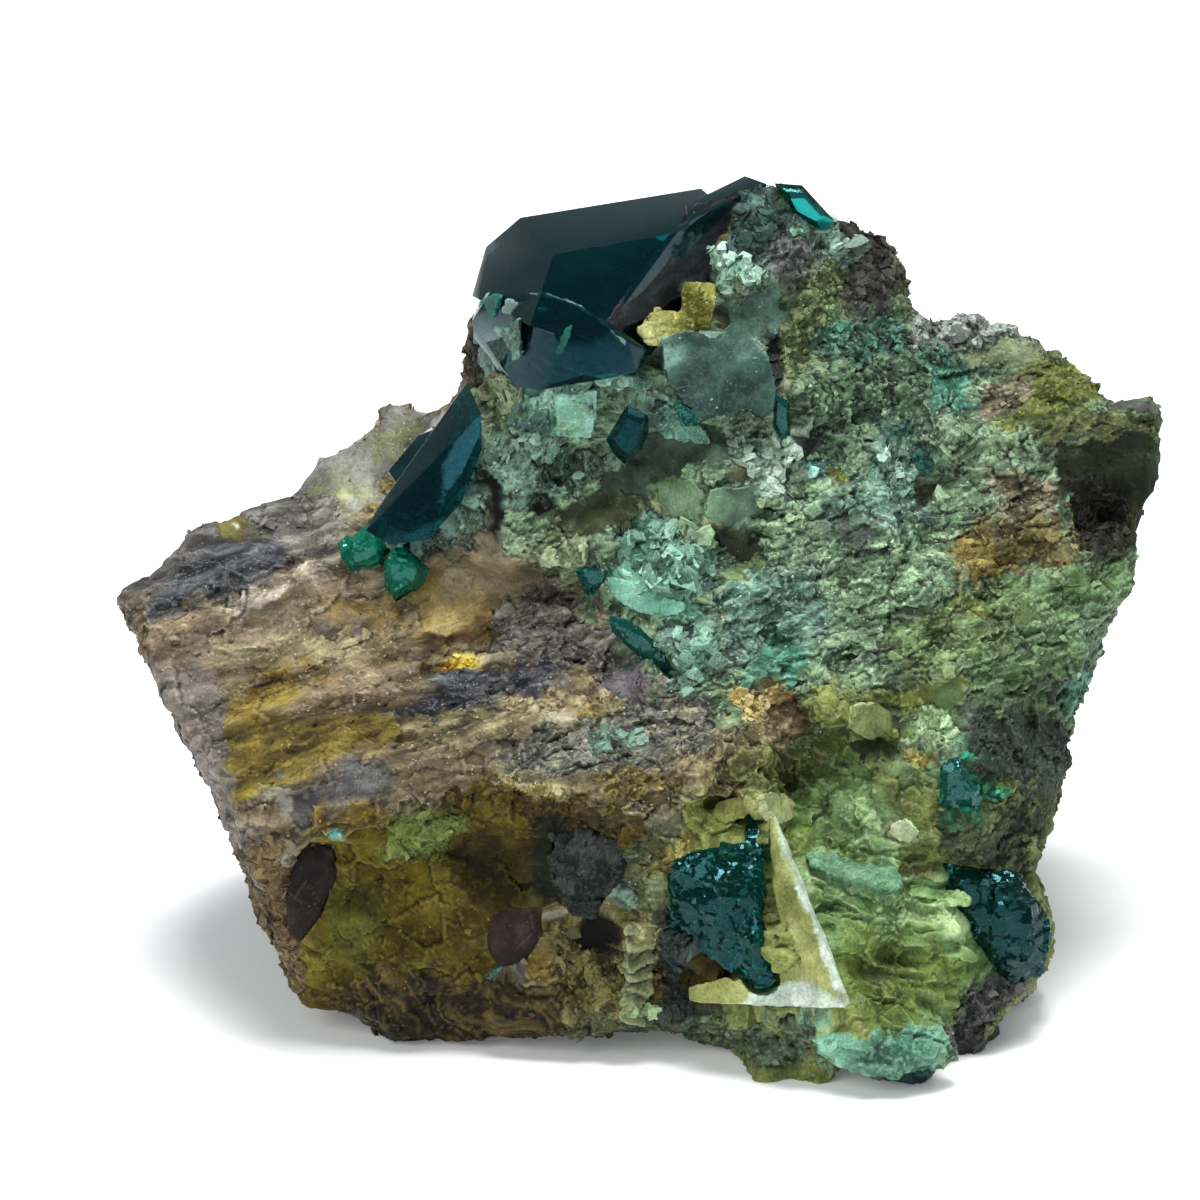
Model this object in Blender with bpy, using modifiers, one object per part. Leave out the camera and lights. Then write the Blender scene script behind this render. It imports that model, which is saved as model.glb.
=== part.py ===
"""A hand specimen of dioptase: deep teal crystals on a broken, copper-stained host rock.

Metres, +Z up. X runs to the right and Y away from the viewer of the specimen's best side.
The origin is under the middle of the specimen, on the surface that it rests on.
Sizes in this file are in millimetres, and become metres when an object is made.
"""

import math

import bmesh
import bpy
from mathutils import Matrix, Vector, noise

MM = 0.001

# The best side is seen from this far off and this far above the horizon.
VIEW_TILT = math.radians(22)
VIEW_DISTANCE = 500.0
AIM = Vector((-2.0, 0.0, 19.4))  # the middle of the view
AIM_UP = 24.35  # how high that point is seen above the rock's lowest point

RIGHT = Vector((1, 0, 0))
UPWARD = Vector((0, math.sin(VIEW_TILT), math.cos(VIEW_TILT)))
TOWARDS = Vector((0, -math.cos(VIEW_TILT), math.sin(VIEW_TILT)))

# The host rock.
ROCK_VOXEL = 0.6
ROCK_TRIANGLES = 6600
SOCKETED_TRIANGLES = 7300  # once the sockets are cut
SWELL = 0.35  # makes up for what the remesh rounds off the blocks
SINK = 0.7  # how far the blocks reach below the resting plane, before it cuts them flat
CHIP_SIZE = 3.2  # across the facets that the rock breaks into, which smaller ones of half this break up
CHIP_STEP = 0.55
LUMP_SIZE = 6.5
LUMP_STEP = 0.5
BED_THICKNESS = 1.7  # of the layers in the striped slab
BED_STEP = 0.8
BED_NORMAL = Vector((-0.18, -0.62, 0.76)).normalized()
BED_WAVE = 0.35  # how far the layers bend, as a share of their thickness
BED_WAVE_LENGTH = 5.0
BED_RISER = 1 / 3  # the share of a layer that its edge takes up
SLAB_EDGE = 2.0  # the layered slab ends at this x, and fades in over SLAB_FADE to its left
SLAB_FADE = 6.0
SLAB_TOP = 21.5  # over this height it ends further left
SLAB_LEAN = 0.9
SLAB_FACETS_LOST = 0.65  # the share of its facets that the layers take away

# The crystals.
GAP = 0.3  # clearance between a crystal and its socket in the rock
SOCKET_CORNER = 1.5 * GAP  # how far a corner moves along each axis, so that every face keeps the clearance
INSET_FACE = 0.62  # the front face of an inset crystal, as a share of its outline
INSET_BACK = 0.7
CLEARING_START = 0.3  # the space in front of an inset crystal starts this far behind its outline
CLEARING_DEPTH = 4.0
CLEARING_SPREAD = 1.25  # how much wider it is at its front
UNCUT_BLOCK = 40.0  # the block that a crystal's planes are cut from
VIEW_NEAR = -30.0  # the depths between which the rock's outline holds
VIEW_FAR = 30.0


def s(across, up, y):
    """The point at depth y that is seen this far across from x = 0 and up from the lowest point."""
    eye = AIM + VIEW_DISTANCE * TOWARDS
    on_view = AIM + (across - AIM.x) * RIGHT + (up - AIM_UP) * UPWARD
    share = (y - eye.y) / (on_view.y - eye.y)
    return eye + share * (on_view - eye)


def w(x, y, z):
    """A point that the best side doesn't show, by its place."""
    return Vector((x, y, z))


# The rock is made of overlapping blocks, each the hull of the corners where its fracture planes meet.
BLOCKS = {
    "striped_slab": [
        s(-26.2, 24.8, -1), s(-24.8, 25.7, 1), s(-22, 27.8, 3.5), s(-17.3, 29.4, 6), s(-8, 28, 2.5),
        s(-3, 26.4, -1.4), s(0.3, 20.6, -6.8), s(-24, 20.3, -5), s(-22.9, 17.9, -8), s(-19.9, 14.7, -12),
        s(-17.6, 13.9, -13), s(-15.7, 13.9, -13.2), s(-7, 14.6, -13.4), s(3, 14.6, -12.9),
        s(-17, 4.5, -10.3), s(-12.7, 2.9, -11.3), s(-9.3, 2, -11.5), s(-4, 3, -11.8),
        w(-24, 3, 14), w(-21, 9, 12), w(-20, 0, 3), w(-18, 10, 4), w(-14, 13, 7), w(-10, 14, 19),
        w(4, 14, 18), w(4, 12, 2), w(-14, 7, -SINK), w(-12, -9, -SINK),
    ],
    "quartz_ridge": [
        s(-17.6, 29.3, 6), s(-16, 31.5, 7), s(-13.3, 33, 8), s(-12.8, 34.3, 8.5), s(-11.4, 34.1, 9),
        s(-10.8, 33.5, 9.5), s(-8, 34, 9.5), s(-14, 28, 3.5), s(-9, 29, 3),
        w(-18, 10, 18), w(-16, 14, 12), w(-8, 15, 20), w(-4, 12, 24),
    ],
    "pedestal": [
        s(-12.8, 26.4, -2.8), s(-12.4, 28.4, -0.8), s(-9.6, 31.6, 0.6), s(-8.6, 35, 1.2), s(-8.3, 38, 3),
        s(-7.4, 34, -2), s(-9, 26.8, -3.8), s(-6.6, 26.6, -3.8), s(-2, 27.2, -4.6), s(1, 28.6, -4.4),
        s(6.6, 31, -2.6), s(7.25, 37.9, -0.2), s(7.25, 41, 2), s(-2, 35.6, -2.4), s(5, 43, 6),
        w(-10, 9, 24), w(8, 12, 26), w(6, 11, 34), w(-6, 9, 30), w(0, 3, 16), w(-9, 4, 17),
    ],
    "summit": [
        s(5, 44.9, 7), s(8, 44.4, 7.5), s(9.9, 43.1, 6.5), s(11.4, 43.5, 7), s(12.4, 43, 7.5),
        s(12.8, 41.3, 7.5), s(13.8, 38.5, 7), s(7.3, 40, 1.2), s(7.3, 32.5, -1.6), s(18, 31.9, 0),
        s(18, 28, -3), w(12, 13, 30), w(14, 14, 24), w(4, 12, 34),
    ],
    "crest": [
        s(4.9, 44.2, 2.4), s(6, 45.4, 4.6), s(6.6, 45.2, 4.6), s(3.8, 42.7, 1.2), s(2.8, 41, 0.2),
        s(3.8, 40.2, -0.6), s(7.3, 40, -1), s(8, 43.4, 3), w(6, 8, 37.6), w(4, 8, 34), w(9, 9, 35),
    ],
    "crystal_seat": [
        s(-8.3, 36.6, -0.4), s(-8.4, 34.6, -0.6), s(-6.4, 34.9, -3.4), s(-2.6, 35.4, -4.4),
        s(0.6, 36.2, -3.4), s(1.8, 34, -3.4), s(-2.6, 33, -4.2), s(-6.6, 31.6, -3.8), s(-8.5, 32.6, -1.2),
        w(-6, 4, 29), w(2, 4, 31), w(-6, 3, 33), w(1, 3, 33),
    ],
    "right_slab": [
        s(14.8, 38.6, 6), s(16.3, 39.2, 6), s(20.5, 37.2, 5), s(23.5, 35.6, 4), s(26.1, 34.3, 3),
        s(26.3, 32.9, 1.5), s(25.9, 30.9, -0.5), s(25.2, 25.6, -3.5), s(23, 21.9, -5.5),
        s(21.8, 18.6, -6.5), s(16, 20.7, -9), s(9.5, 19.9, -9.4), s(1, 20, -7.4), s(-3, 26.3, -3.4),
        s(7.25, 31.8, -1.2), w(24, 11, 24), w(22, 13, 14), w(19, 13, 6), w(16, 15, 28), w(0, 14, 18),
        w(0, 0, 8),
    ],
    "ledge": [
        s(-3, 21.6, -5.6), s(0.2, 20, -8.2), s(9.5, 20.2, -9.9), s(10.4, 17.9, -11), s(3, 15, -13),
        s(-4, 14.4, -13.2), w(0, -2, 8), w(9, -2, 8), w(9, -3, 16),
    ],
    "lower_right": [
        s(22, 17.2, -6.5), s(21.3, 15.6, -7.5), s(20.9, 12.6, -8.5), s(20.8, 7.6, -10.5),
        s(19.6, 4.2, -11.5), s(17.4, 1.2, -13.2), s(16, 10, -13), s(15.5, 18, -9.5), s(9, 19.8, -9),
        s(16, 20.7, -8), s(9, 8, -14), s(4, 2.4, -13), w(20, 6, -SINK), w(15, 12, -SINK),
        w(20, 11, 8), w(-6, -8, -SINK), w(0, 11, -SINK), w(16, -12, -SINK),
    ],
    "front_middle": [
        s(-4, 14, -13), s(3, 14.4, -13.1), s(3, 3, -13.8), s(-4, 3, -12.6), s(5.5, 2.2, -14),
        w(0, -6, 0), w(6, -6, 12),
    ],
    "plate_wall": [
        s(6.3, 14, -13.6), s(7.6, 10.9, -15.3), s(8.9, 7.5, -16.5), s(10.6, 4.1, -17.6),
        s(2, 4.5, -15.4), s(1.4, 10, -13.8), s(3.5, 13, -13.2), w(3, -8, 3), w(8, -9, 3), w(5, -8, 12),
    ],
    "foot_crust": [
        s(2.5, 2.9, -14), s(6.5, 1, -14.6), s(10.9, 0.4, -16), s(13.8, 0, -17.1), s(15.6, 1.4, -16),
        s(15.8, 3, -15.8), s(15, 3.9, -16.4), s(9, 3.5, -16.9), s(6, 3.7, -15.8),
        w(2, -8, -SINK), w(16, -8, -SINK), w(14, -8, 5), w(13, -16, -SINK), w(7, -14, -SINK),
    ],
    "grey_plate": [
        s(1, 37.4, -1.7), s(1.8, 37.9, -1.6), s(3.9, 37.6, -1.7), s(4.8, 38.5, -1.4), s(6.7, 38.8, -1.3),
        s(7.1, 37.4, -1.7), s(7.1, 34.8, -2.4), s(6.5, 33.3, -2.8), s(3.4, 33.5, -3.2),
        s(1.8, 35, -2.8), s(1, 36.2, -2.3), w(2, 4, 30), w(6, 4, 30),
    ],
    "inset_bulge": [
        s(-2.4, 32.4, -2.6), s(-0.8, 34.4, -2.2), s(3.4, 33.6, -2.8), s(5, 31.9, -3.2), s(3.6, 31.4, -3.8),
        s(0.2, 30.6, -4), s(-1.8, 30.2, -3.9), w(-2, 3, 26), w(4, 3, 27),
    ],
    "pale_steps": [
        s(0.4, 31, -3.6), s(3, 31, -3.8), s(5.9, 30.6, -3.4), s(6.4, 28.6, -4), s(3.8, 26.6, -5.2),
        s(1.6, 27.4, -5), s(-0.2, 29.4, -4.4), w(0, 2, 24), w(6, 2, 24),
    ],
    "blue_steps": [
        s(-1, 28.2, -4.6), s(1.4, 28.2, -4.8), s(4.6, 26.4, -5.4), s(5.2, 23.2, -6.6), s(2.4, 21.4, -7.8),
        s(0.4, 22.6, -7.2), s(-2.6, 25.4, -5.6), s(-2.2, 27.2, -4.9), w(0, 0, 18), w(5, 0, 18),
    ],
    "right_knob": [
        s(12.5, 33, -0.8), s(16.6, 33.4, -0.4), s(17.6, 30.6, -2), s(15, 28.8, -3.2), s(11.5, 30, -2.6),
        w(13, 3, 24), w(17, 3, 24),
    ],
    "green_shelf": [
        s(10.8, 24.2, -6.4), s(14, 25.4, -5.4), s(19, 24.6, -5.4), s(21.8, 21.6, -6.6), s(17.4, 21.2, -8.8),
        s(12, 20.6, -9.4), w(12, -1, 14), w(20, -1, 14),
    ],
    "back_shoulder": [
        w(-6, 10, 28), w(8, 13, 30), w(12, 17, 20), w(8, 19, 9), w(-8, 18, 11), w(-14, 15, 16),
        w(4, 17, 1), w(-6, 15, 2), w(10, 8, 26),
    ],
}

# What is broken out of the blocks.
HOLLOWS = {
    "under_the_ledge": [
        s(10.2, 18.9, -18), s(16, 20.4, -18), s(16.4, 17.4, -18), s(14, 14.6, -18), s(10.8, 16, -18),
        s(10.4, 18.6, -9.8), s(15.2, 19.8, -8.2), s(14.2, 16.6, -8.4), s(11.2, 17, -8.8),
    ],
    "green_face": [
        s(6.4, 15, -30), s(10.3, 17, -30), s(12.8, 15.4, -30), s(18.2, 8, -30), s(17, 5, -30),
        s(15.5, 3.7, -30), s(10.7, 4, -30), s(7, 13.6, -30), s(6.9, 15, -10.4), s(10.4, 16.6, -9.6),
        s(12.7, 15, -10), s(18, 8, -12.4), s(16.6, 5.3, -14), s(15.2, 4, -15.6), s(11, 4.2, -15.7),
        s(7.8, 12, -12.2),
    ],
    "crystal_bed": [
        s(-1.6, 39.8, -8), s(3.7, 40.6, -8), s(3.6, 37.9, -8), s(1.6, 38.2, -8), s(-0.4, 37.2, -8),
        s(0, 39, 2.2), s(3.5, 40, 2), s(3.4, 38.3, 1.4), s(1, 38, 1.2),
    ],
    "foot_crevice": [
        s(-7.9, 31, -9), s(-7.2, 31.2, -9), s(-6.6, 29, -9), s(-6.3, 27.6, -9), s(-7.9, 27.4, -9),
        s(-7.5, 30.6, -1.6), s(-6.9, 28.2, -2), s(-7.5, 28, -2),
    ],
    "foot_groove": [
        s(-5.6, 29.6, -9), s(-4.6, 29.7, -9), s(-4.6, 28.9, -9), s(-5.6, 28.6, -9),
        s(-5.2, 29.3, -2.4), s(-4.8, 29.2, -2.4),
    ],
    "under_the_steps": [
        s(-0.8, 28.9, -9), s(3.4, 31.4, -9), s(4.2, 30.7, -9), s(0.6, 28.3, -9),
        s(-0.4, 28.9, -3.4), s(3, 31, -2.6), s(1, 28.8, -3.2),
    ],
    "clay_pocket": [
        s(2.4, 13.6, -17), s(6.2, 13.9, -17), s(6, 11.6, -17), s(3.6, 10.9, -17), s(1.8, 12, -17),
        s(3, 13.2, -11.8), s(5.6, 13.4, -11.8), s(5, 12, -12.2), s(3, 12.2, -12.2),
    ],
    "summit_notch": [
        s(7.6, 39, -8), s(8.4, 34, -8), s(7.6, 32.5, -8), s(7.2, 33.5, -8), s(7.1, 38.6, -8),
        s(7.6, 38, 0.6), s(7.7, 34, -0.6),
    ],
}

# Round holes and dents: where, and half of their width, height and depth.
DENTS = {
    "vug": (s(-2, 7.5, -13.2), (0.95, 2.4, 0.9)),
    "front_shell": (s(-7.5, 8.4, -14.8), (5.4, 2.4, 4.4)),
    "plate_underside": (s(3.4, 3.6, -15.9), (2.3, 1.5, 1.1)),
    "green_dish": (s(11.5, 9.5, -15.4), (3.4, 2.6, 5)),
    "right_waist": (s(21.8, 11.4, -9.5), (1.6, 2.4, 1.6)),
    "back_scoop": (w(-2, 20.5, 10), (7, 4, 6)),
}

# Lumps that grow on the rock: where, and half of their width, depth and height.
LUMPS = [
    (s(10.4, 18.3, -9.2), (0.8, 0.8, 0.7)),
    (s(11.4, 17.9, -9.3), (0.9, 0.8, 0.8)),
    (s(12.3, 17.2, -9.4), (0.8, 0.8, 0.8)),
    (s(11.6, 16.9, -9.6), (0.7, 0.7, 0.6)),
    (s(12.9, 18.2, -9), (0.8, 0.8, 0.7)),
    (s(13.2, 16.2, -9.8), (0.6, 0.7, 0.6)),
    (s(4.8, 30.2, -4.2), (0.6, 0.7, 0.6)),
    (s(10.6, 10.9, -14), (1.7, 0.9, 0.45)),
    (s(12.4, 10.4, -13.6), (1.3, 0.8, 0.4)),
    (s(10.4, 8.1, -14.8), (1.5, 0.7, 0.4)),
    (s(13.6, 8.2, -13.8), (1.6, 0.7, 0.4)),
    (s(9.3, 12.9, -12.6), (1.2, 0.7, 0.4)),
    (s(6.9, 14, -12.4), (1.1, 0.9, 0.55)),
    (s(5.7, 14.2, -12.6), (0.8, 0.8, 0.5)),
]

# Where the rock broke smoothly: the middle of each such place, its radius, and how much facets show there.
CALM = [
    (s(12.5, 8.5, -12), 7.5, 0.3),
    (s(4.2, 35.8, -2.2), 3, 0.25),
    (s(4.5, 29, -4), 3.4, 0.7),
    (s(-12, 9, -12), 9, 0.6),
    (s(19, 33, 2), 6, 0.6),
]

# The rock's outline from the best side, clockwise from the left tip: across and up.
OUTLINE = [
    (-26.2, 24.8), (-25, 25.5), (-23.6, 26.3), (-22, 27.8), (-19, 28.9), (-17.2, 29.5),
    (-16.2, 31.4), (-14.5, 32), (-13.3, 33), (-12.8, 34.2), (-11.5, 34.1), (-10.8, 33.4),
    (-9.4, 33.9), (-8.6, 35.2), (-8.5, 38.6), (-4, 41.6), (4, 44.3), (6, 45.6), (6.7, 45.2), (8, 44.7),
    (9.2, 43), (11.4, 43.5), (12.4, 43),
    (12.7, 41.4), (13.9, 38.5), (14.8, 38.7), (16.3, 39.2), (18, 38.3), (19.5, 37.4), (20.6, 37.2),
    (22, 36.5), (23.5, 35.5), (24.8, 34.6), (26, 34.3), (26.1, 32.8), (25.8, 30.8), (25.4, 27.9),
    (25, 25), (23.8, 24.2), (23, 21.9), (22.3, 19.9), (21.6, 18.6), (22, 16.9), (21.2, 15.7),
    (20.7, 14.5), (20.6, 12.8), (19, 11.1), (20.3, 8.7), (20.7, 7.2), (20, 5.1), (17.8, 3.5),
    (17.3, 1.6), (15.1, 0.5), (13.8, 0), (10.9, 0.4), (6.5, 0.9), (5, 1.7), (3, 2.5), (0.6, 2.9),
    (-7, 2.4), (-9.4, 1.9), (-11.8, 2.2), (-14.5, 3.8), (-16.9, 4.2), (-17.6, 5.6), (-19.5, 10.4),
    (-20.4, 12.9), (-21.5, 15.4), (-22.9, 18), (-24, 20.3),
]

# The main crystal: each face by three points of its plane.
CROWN_MIDDLE = s(-2, 40.6, 0.5)
TOP_FRONT_LEFT = s(-4.31, 41.64, -3.2)
TOP_FRONT_RIGHT = s(1.94, 42.7, -0.35)
TOP_BACK_LEFT = s(-5.98, 43.47, 1.7)
TOP_BACK_RIGHT = s(3.05, 44.93, 5.6)
LOW_FRONT_TIP = s(-1.45, 38.2, -3.9)
LEFT_HIGH = s(-7.72, 42, 2.79)
LEFT_LOW = s(-8.4, 39.55, 1)
STEP_FRONT = s(2.45, 43.3, 0.33)
STEP_BACK = s(2.3, 44.1, 2.5)
STEP_FRONT_RIGHT = s(4.85, 44.45, 3.4)
STEP_BACK_RIGHT = s(5.25, 45.55, 6.35)
CROWN_FACES = [
    (TOP_FRONT_LEFT, TOP_BACK_LEFT, TOP_BACK_RIGHT),
    (TOP_FRONT_LEFT, TOP_FRONT_RIGHT, LOW_FRONT_TIP),
    (TOP_BACK_LEFT, TOP_FRONT_LEFT, LEFT_LOW),
    (LEFT_HIGH, LEFT_LOW, s(-5.6, 42, 4.74)),
    (TOP_BACK_LEFT, TOP_BACK_RIGHT, LEFT_HIGH),
    (STEP_FRONT, STEP_FRONT_RIGHT, LOW_FRONT_TIP),
    (TOP_BACK_RIGHT, TOP_BACK_RIGHT + w(0, 0, -3), TOP_BACK_RIGHT + w(-1.2, 2.8, 0)),
    (TOP_BACK_LEFT + w(0, 1.8, 0), TOP_BACK_RIGHT + w(0, 1.8, 0), TOP_BACK_RIGHT + w(0, 1.8, -1)),
    (LEFT_LOW, s(-1.45, 37, -3), s(-1.45, 37.6, 4)),
]
STEP_MIDDLE = s(4.2, 42.6, 5)
STEP_FACES = [
    (STEP_FRONT, STEP_FRONT_RIGHT, STEP_BACK_RIGHT),
    (STEP_FRONT, STEP_FRONT_RIGHT, LOW_FRONT_TIP),
    (STEP_FRONT, STEP_BACK, STEP_FRONT + w(-0.3, 0, -3)),
    (STEP_BACK, STEP_BACK_RIGHT, STEP_BACK + w(-1.2, 0.9, -2.6)),
    (STEP_BACK_RIGHT, s(6.05, 45.35, 5.6), s(6.2, 43, 5)),
    (STEP_BACK + w(-0.6, 1.2, 0), STEP_BACK_RIGHT + w(-0.6, 1.2, 0), STEP_BACK + w(-0.6, 1.2, -1)),
    (w(0, 0, 32.6), w(1, 0, 32.6), w(0, 1, 32.6)),
]
# The broken crystal under it.
CROWN_FOOT = [
    s(-4.93, 39.7, -4.3), s(-4.15, 39.45, -4.5), s(-3.03, 39.07, -4.8), s(-2.15, 38.62, -4.9),
    s(-1.25, 37.85, -4.8), s(-0.57, 37.2, -4.6), s(0.3, 36.8, -3.8), s(-6.05, 39.2, -3.4),
    s(-7.5, 39.75, -1.2), s(-8.4, 38.3, -0.6), s(-8.27, 37.4, -0.8), s(-6.8, 35.85, -3),
    s(-6.27, 35.05, -3.6), s(-5.05, 34.85, -4.4), s(-4.6, 35.1, -4.7), s(-2.8, 35.6, -5.2),
    s(-1.8, 35.4, -5), s(-0.2, 35.8, -4.4), s(-4.2, 37.4, -5.2), s(-8, 39.6, 2), s(0, 37.4, 0),
    s(-6, 35, 1), s(0, 35.6, 0),
]

LEFT_BLADE = [
    s(-8.65, 35.25, -0.4), s(-9.37, 34.2, 1.4), s(-9.72, 33.2, 0.2), s(-8.95, 33.5, -1.8),
    s(-7.95, 33.7, -2.8), s(-7.95, 31.85, -3.6), s(-8.9, 29.25, -4.2), s(-9.95, 29.25, -4),
    s(-11.15, 30.65, -1.8), s(-13.15, 28.9, -2.2), s(-13.73, 27.8, -2.8), s(-12.5, 27.1, -3.8),
    s(-10.6, 27.35, -4.4), w(-8, 2.5, 27), w(-9.4, 2.5, 24),
]
LEFT_PRISM = [
    s(-11.13, 32.55, 1.2), s(-10.3, 32.2, 0.2), s(-9.6, 33.15, 1), s(-10.4, 33, 1.8),
    s(-11.37, 30.66, -0.8), s(-12.1, 31.4, 0.2), s(-12.1, 30.1, -1.2), s(-12.6, 30.8, -0.2),
    s(-9.5, 31, 2.5), s(-11.4, 30, 2.4),
]
OCHRE_CRUST = [
    [
        s(2.2, 40.3, -0.6), s(3.75, 40.2, -0.4), s(3.8, 39.4, -1), s(3.5, 37.8, -1.2), s(2.1, 37.8, -1.4),
        s(2, 39.8, -0.9), s(2.2, 40, 1.2), s(3.8, 40, 2), s(3.4, 37.8, 1), s(2.1, 37.8, 0.6),
    ],
    [
        s(0.2, 38.8, -2.2), s(1.7, 38.9, -1.6), s(2.7, 38.3, -1.6), s(2.6, 37.4, -1.8), s(1, 37.2, -2.4),
        s(0.2, 37.3, -2.6), s(0.2, 38.7, -0.2), s(2.6, 38.4, 0.4), s(2.4, 37.4, 0.2), s(0.3, 37.2, -0.4),
    ],
    [
        s(-0.3, 38, -2.8), s(0.6, 38.2, -2.6), s(0.8, 37.2, -2.8), s(-0.55, 37.25, -2.9),
        s(-0.3, 37.9, -1), s(0.8, 38, -0.8), s(0.8, 37.2, -0.8), s(-0.4, 37.2, -1),
    ],
]
STANDING_PLATE = [
    [
        s(6.4, 13.8, -12.6), s(6.8, 13.6, -13), s(7, 11.8, -14.4), s(8.2, 9.1, -16), s(10.6, 4.1, -17.7),
        s(10.2, 4, -17.5), s(7.6, 6, -16.2), s(6.7, 9.4, -15), s(7.2, 11, -12.5), s(10, 5, -15.6),
        s(8.4, 5, -14.8),
    ],
    [
        s(2.4, 5, -14.6), s(2.5, 4.3, -14.8), s(6, 4, -16.2), s(10.3, 3.95, -17.5), s(9.9, 5, -17.1),
        s(7.4, 6.2, -16), s(6.8, 4.9, -15.9), s(4.5, 4.9, -15.3), s(3, 4.8, -13), s(9, 4.6, -14.4),
    ],
]
FRONT_MASS = [
    [
        s(5.5, 13.7, -12), s(6.05, 13.7, -12), s(6.3, 10.85, -14.2), s(6.2, 8.6, -14.8), s(5, 11, -14.2),
        s(5.6, 13.4, -10.8), s(6, 9, -12.4), s(5, 10.6, -12.2),
    ],
    [
        s(1.4, 11.25, -13.2), s(3, 11.85, -13.2), s(5.25, 12.1, -13.6), s(6.3, 9.1, -14.8),
        s(5.9, 7.85, -15), s(4.75, 5.6, -15.2), s(2.5, 7.1, -14.4), s(1.25, 8.1, -13.8),
        s(4, 9.6, -15.1), s(2, 11, -12), s(5, 11.4, -11.8), s(5.6, 8.4, -12.4), s(4.6, 6.2, -13),
        s(1.6, 8.4, -12.2),
    ],
    [
        s(4.75, 9.35, -14.6), s(6.2, 9.1, -14.8), s(6.75, 5.2, -15.9), s(6.6, 4.95, -15.9),
        s(5.75, 4.95, -15.7), s(4.9, 6.35, -15.2), s(5.9, 7, -15.8), s(5, 9, -12.6), s(6.3, 5.4, -14),
        s(5.2, 6, -13.4),
    ],
]

JOINED = {
    "left_dioptase": [LEFT_BLADE, LEFT_PRISM],
    "front_dioptase": FRONT_MASS,
    "ochre_crust": OCHRE_CRUST,
    "standing_plate": STANDING_PLATE,
}

# Crystals and lenses that lie in the surface: their corners as seen, the depth of their front,
# how proud it is, and how deep they go.
INSETS = {
    "emerald_pair": (
        [(-15, 27.1), (-13.75, 28.1), (-12.4, 27), (-13.1, 26.2), (-14.5, 25.7)],
        -1.2, 0.6, 1.8,
    ),
    "emerald_foot": (
        [
            (-12.9, 26.3), (-12.3, 27), (-11.5, 26.9), (-10.6, 26), (-11, 25), (-12.2, 24.2),
            (-12.8, 24.9),
        ],
        -3.2, 0.6, 2.4,
    ),
    "inset_dioptase": (
        [
            (-1.7, 32.4), (-0.65, 34.1), (0.4, 33.6), (0.45, 32.8), (0.1, 31.9), (-0.75, 31.1),
            (-1.4, 31.7),
        ],
        -4.3, 0.5, 2,
    ),
    "wedge_dioptase": (
        [(1.6, 34.4), (2.6, 33.9), (3.1, 33.1), (2.2, 33)],
        -4, 0.3, 1.4,
    ),
    "summit_dioptase": (
        [(6.7, 45.2), (8.1, 45.1), (8.75, 44.35), (9.75, 43.3), (9.1, 42.8), (7.6, 43.6)],
        4.6, 0.5, 2.4,
    ),
    "crease_dioptase": (
        [(-3.3, 26), (-1.4, 26.1), (-1.5, 25.1), (-2.6, 24.6)],
        -4.8, 0.3, 2,
    ),
    "lower_crease_dioptase": (
        [
            (-1.5, 23.5), (-0.5, 23.3), (1.4, 21.8), (2, 20.7), (1.3, 20.4), (0, 21.4),
            (-1.3, 22.7),
        ],
        -6.8, 0.3, 2,
    ),
    "plate_edge_dioptase": (
        [(6.75, 34.8), (7.45, 34.3), (7.55, 32.6), (7.1, 32.1), (6.65, 33)],
        -1.6, 0.3, 2,
    ),
    "lower_right_dioptase": (
        [
            (15, 11.3), (17.2, 10.5), (18.75, 10.8), (20, 9.2), (20.6, 7.4), (20.2, 5.6),
            (18.5, 5), (17, 6.6), (15.3, 9.3),
        ],
        -11.2, 0.8, 3,
    ),
    "side_dioptase": (
        [(15, 16.1), (15.9, 16.5), (17.2, 14.5), (16.8, 13.9), (15, 14)],
        -11.2, 0.4, 1.8,
    ),
    "left_lens": (
        [
            (-16.5, 12.25), (-15.25, 12.1), (-15, 10.85), (-15.9, 8.6), (-17, 7.1),
            (-17.6, 7.6), (-17.8, 9.85), (-17.25, 11.6),
        ],
        -12.2, 0.3, 2,
    ),
    "middle_lens": (
        [
            (-7.6, 8.4), (-6.6, 9), (-5, 8.9), (-4.9, 7.8), (-5.6, 6.4), (-6.9, 5.9),
            (-7.6, 6.9),
        ],
        -12.9, 0.3, 2,
    ),
    "grey_lens": (
        [
            (-4.5, 12.6), (-2.6, 13.1), (-0.8, 12.3), (-0.9, 10.4), (-2.4, 8.5), (-3.6, 8.6),
            (-4.5, 10.2),
        ],
        -13.2, 0.3, 2,
    ),
}

TEAL = (0.0, 0.11, 0.12)
EMERALD = (0.0, 0.28, 0.2)
LENS_BROWN = (0.06, 0.03, 0.03)
OCHRE = (0.42, 0.32, 0.07)
PLATE_WHITE = (0.6, 0.62, 0.5)


def collection(name, keep=True):
    made = bpy.data.collections.new(name)
    bpy.context.scene.collection.children.link(made)
    made.hide_render = not keep
    return made


def material(name, rgb, roughness):
    made = bpy.data.materials.new(name)
    made.use_nodes = True
    shader = made.node_tree.nodes["Principled BSDF"]
    shader.inputs["Base Color"].default_value = (*rgb, 1)
    shader.inputs["Roughness"].default_value = roughness
    made.diffuse_color = (*rgb, 1)
    return made


def everything(bm):
    return bm.verts[:] + bm.edges[:] + bm.faces[:]


def object_from(bm, name, home):
    """Turns a bmesh, whose points are in millimetres, into an object in metres."""
    bmesh.ops.recalc_face_normals(bm, faces=bm.faces)
    bmesh.ops.scale(bm, vec=Vector((MM, MM, MM)), verts=bm.verts)
    mesh = bpy.data.meshes.new(name)
    bm.to_mesh(mesh)
    bm.free()
    made = bpy.data.objects.new(name, mesh)
    home.objects.link(made)
    return made


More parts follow.
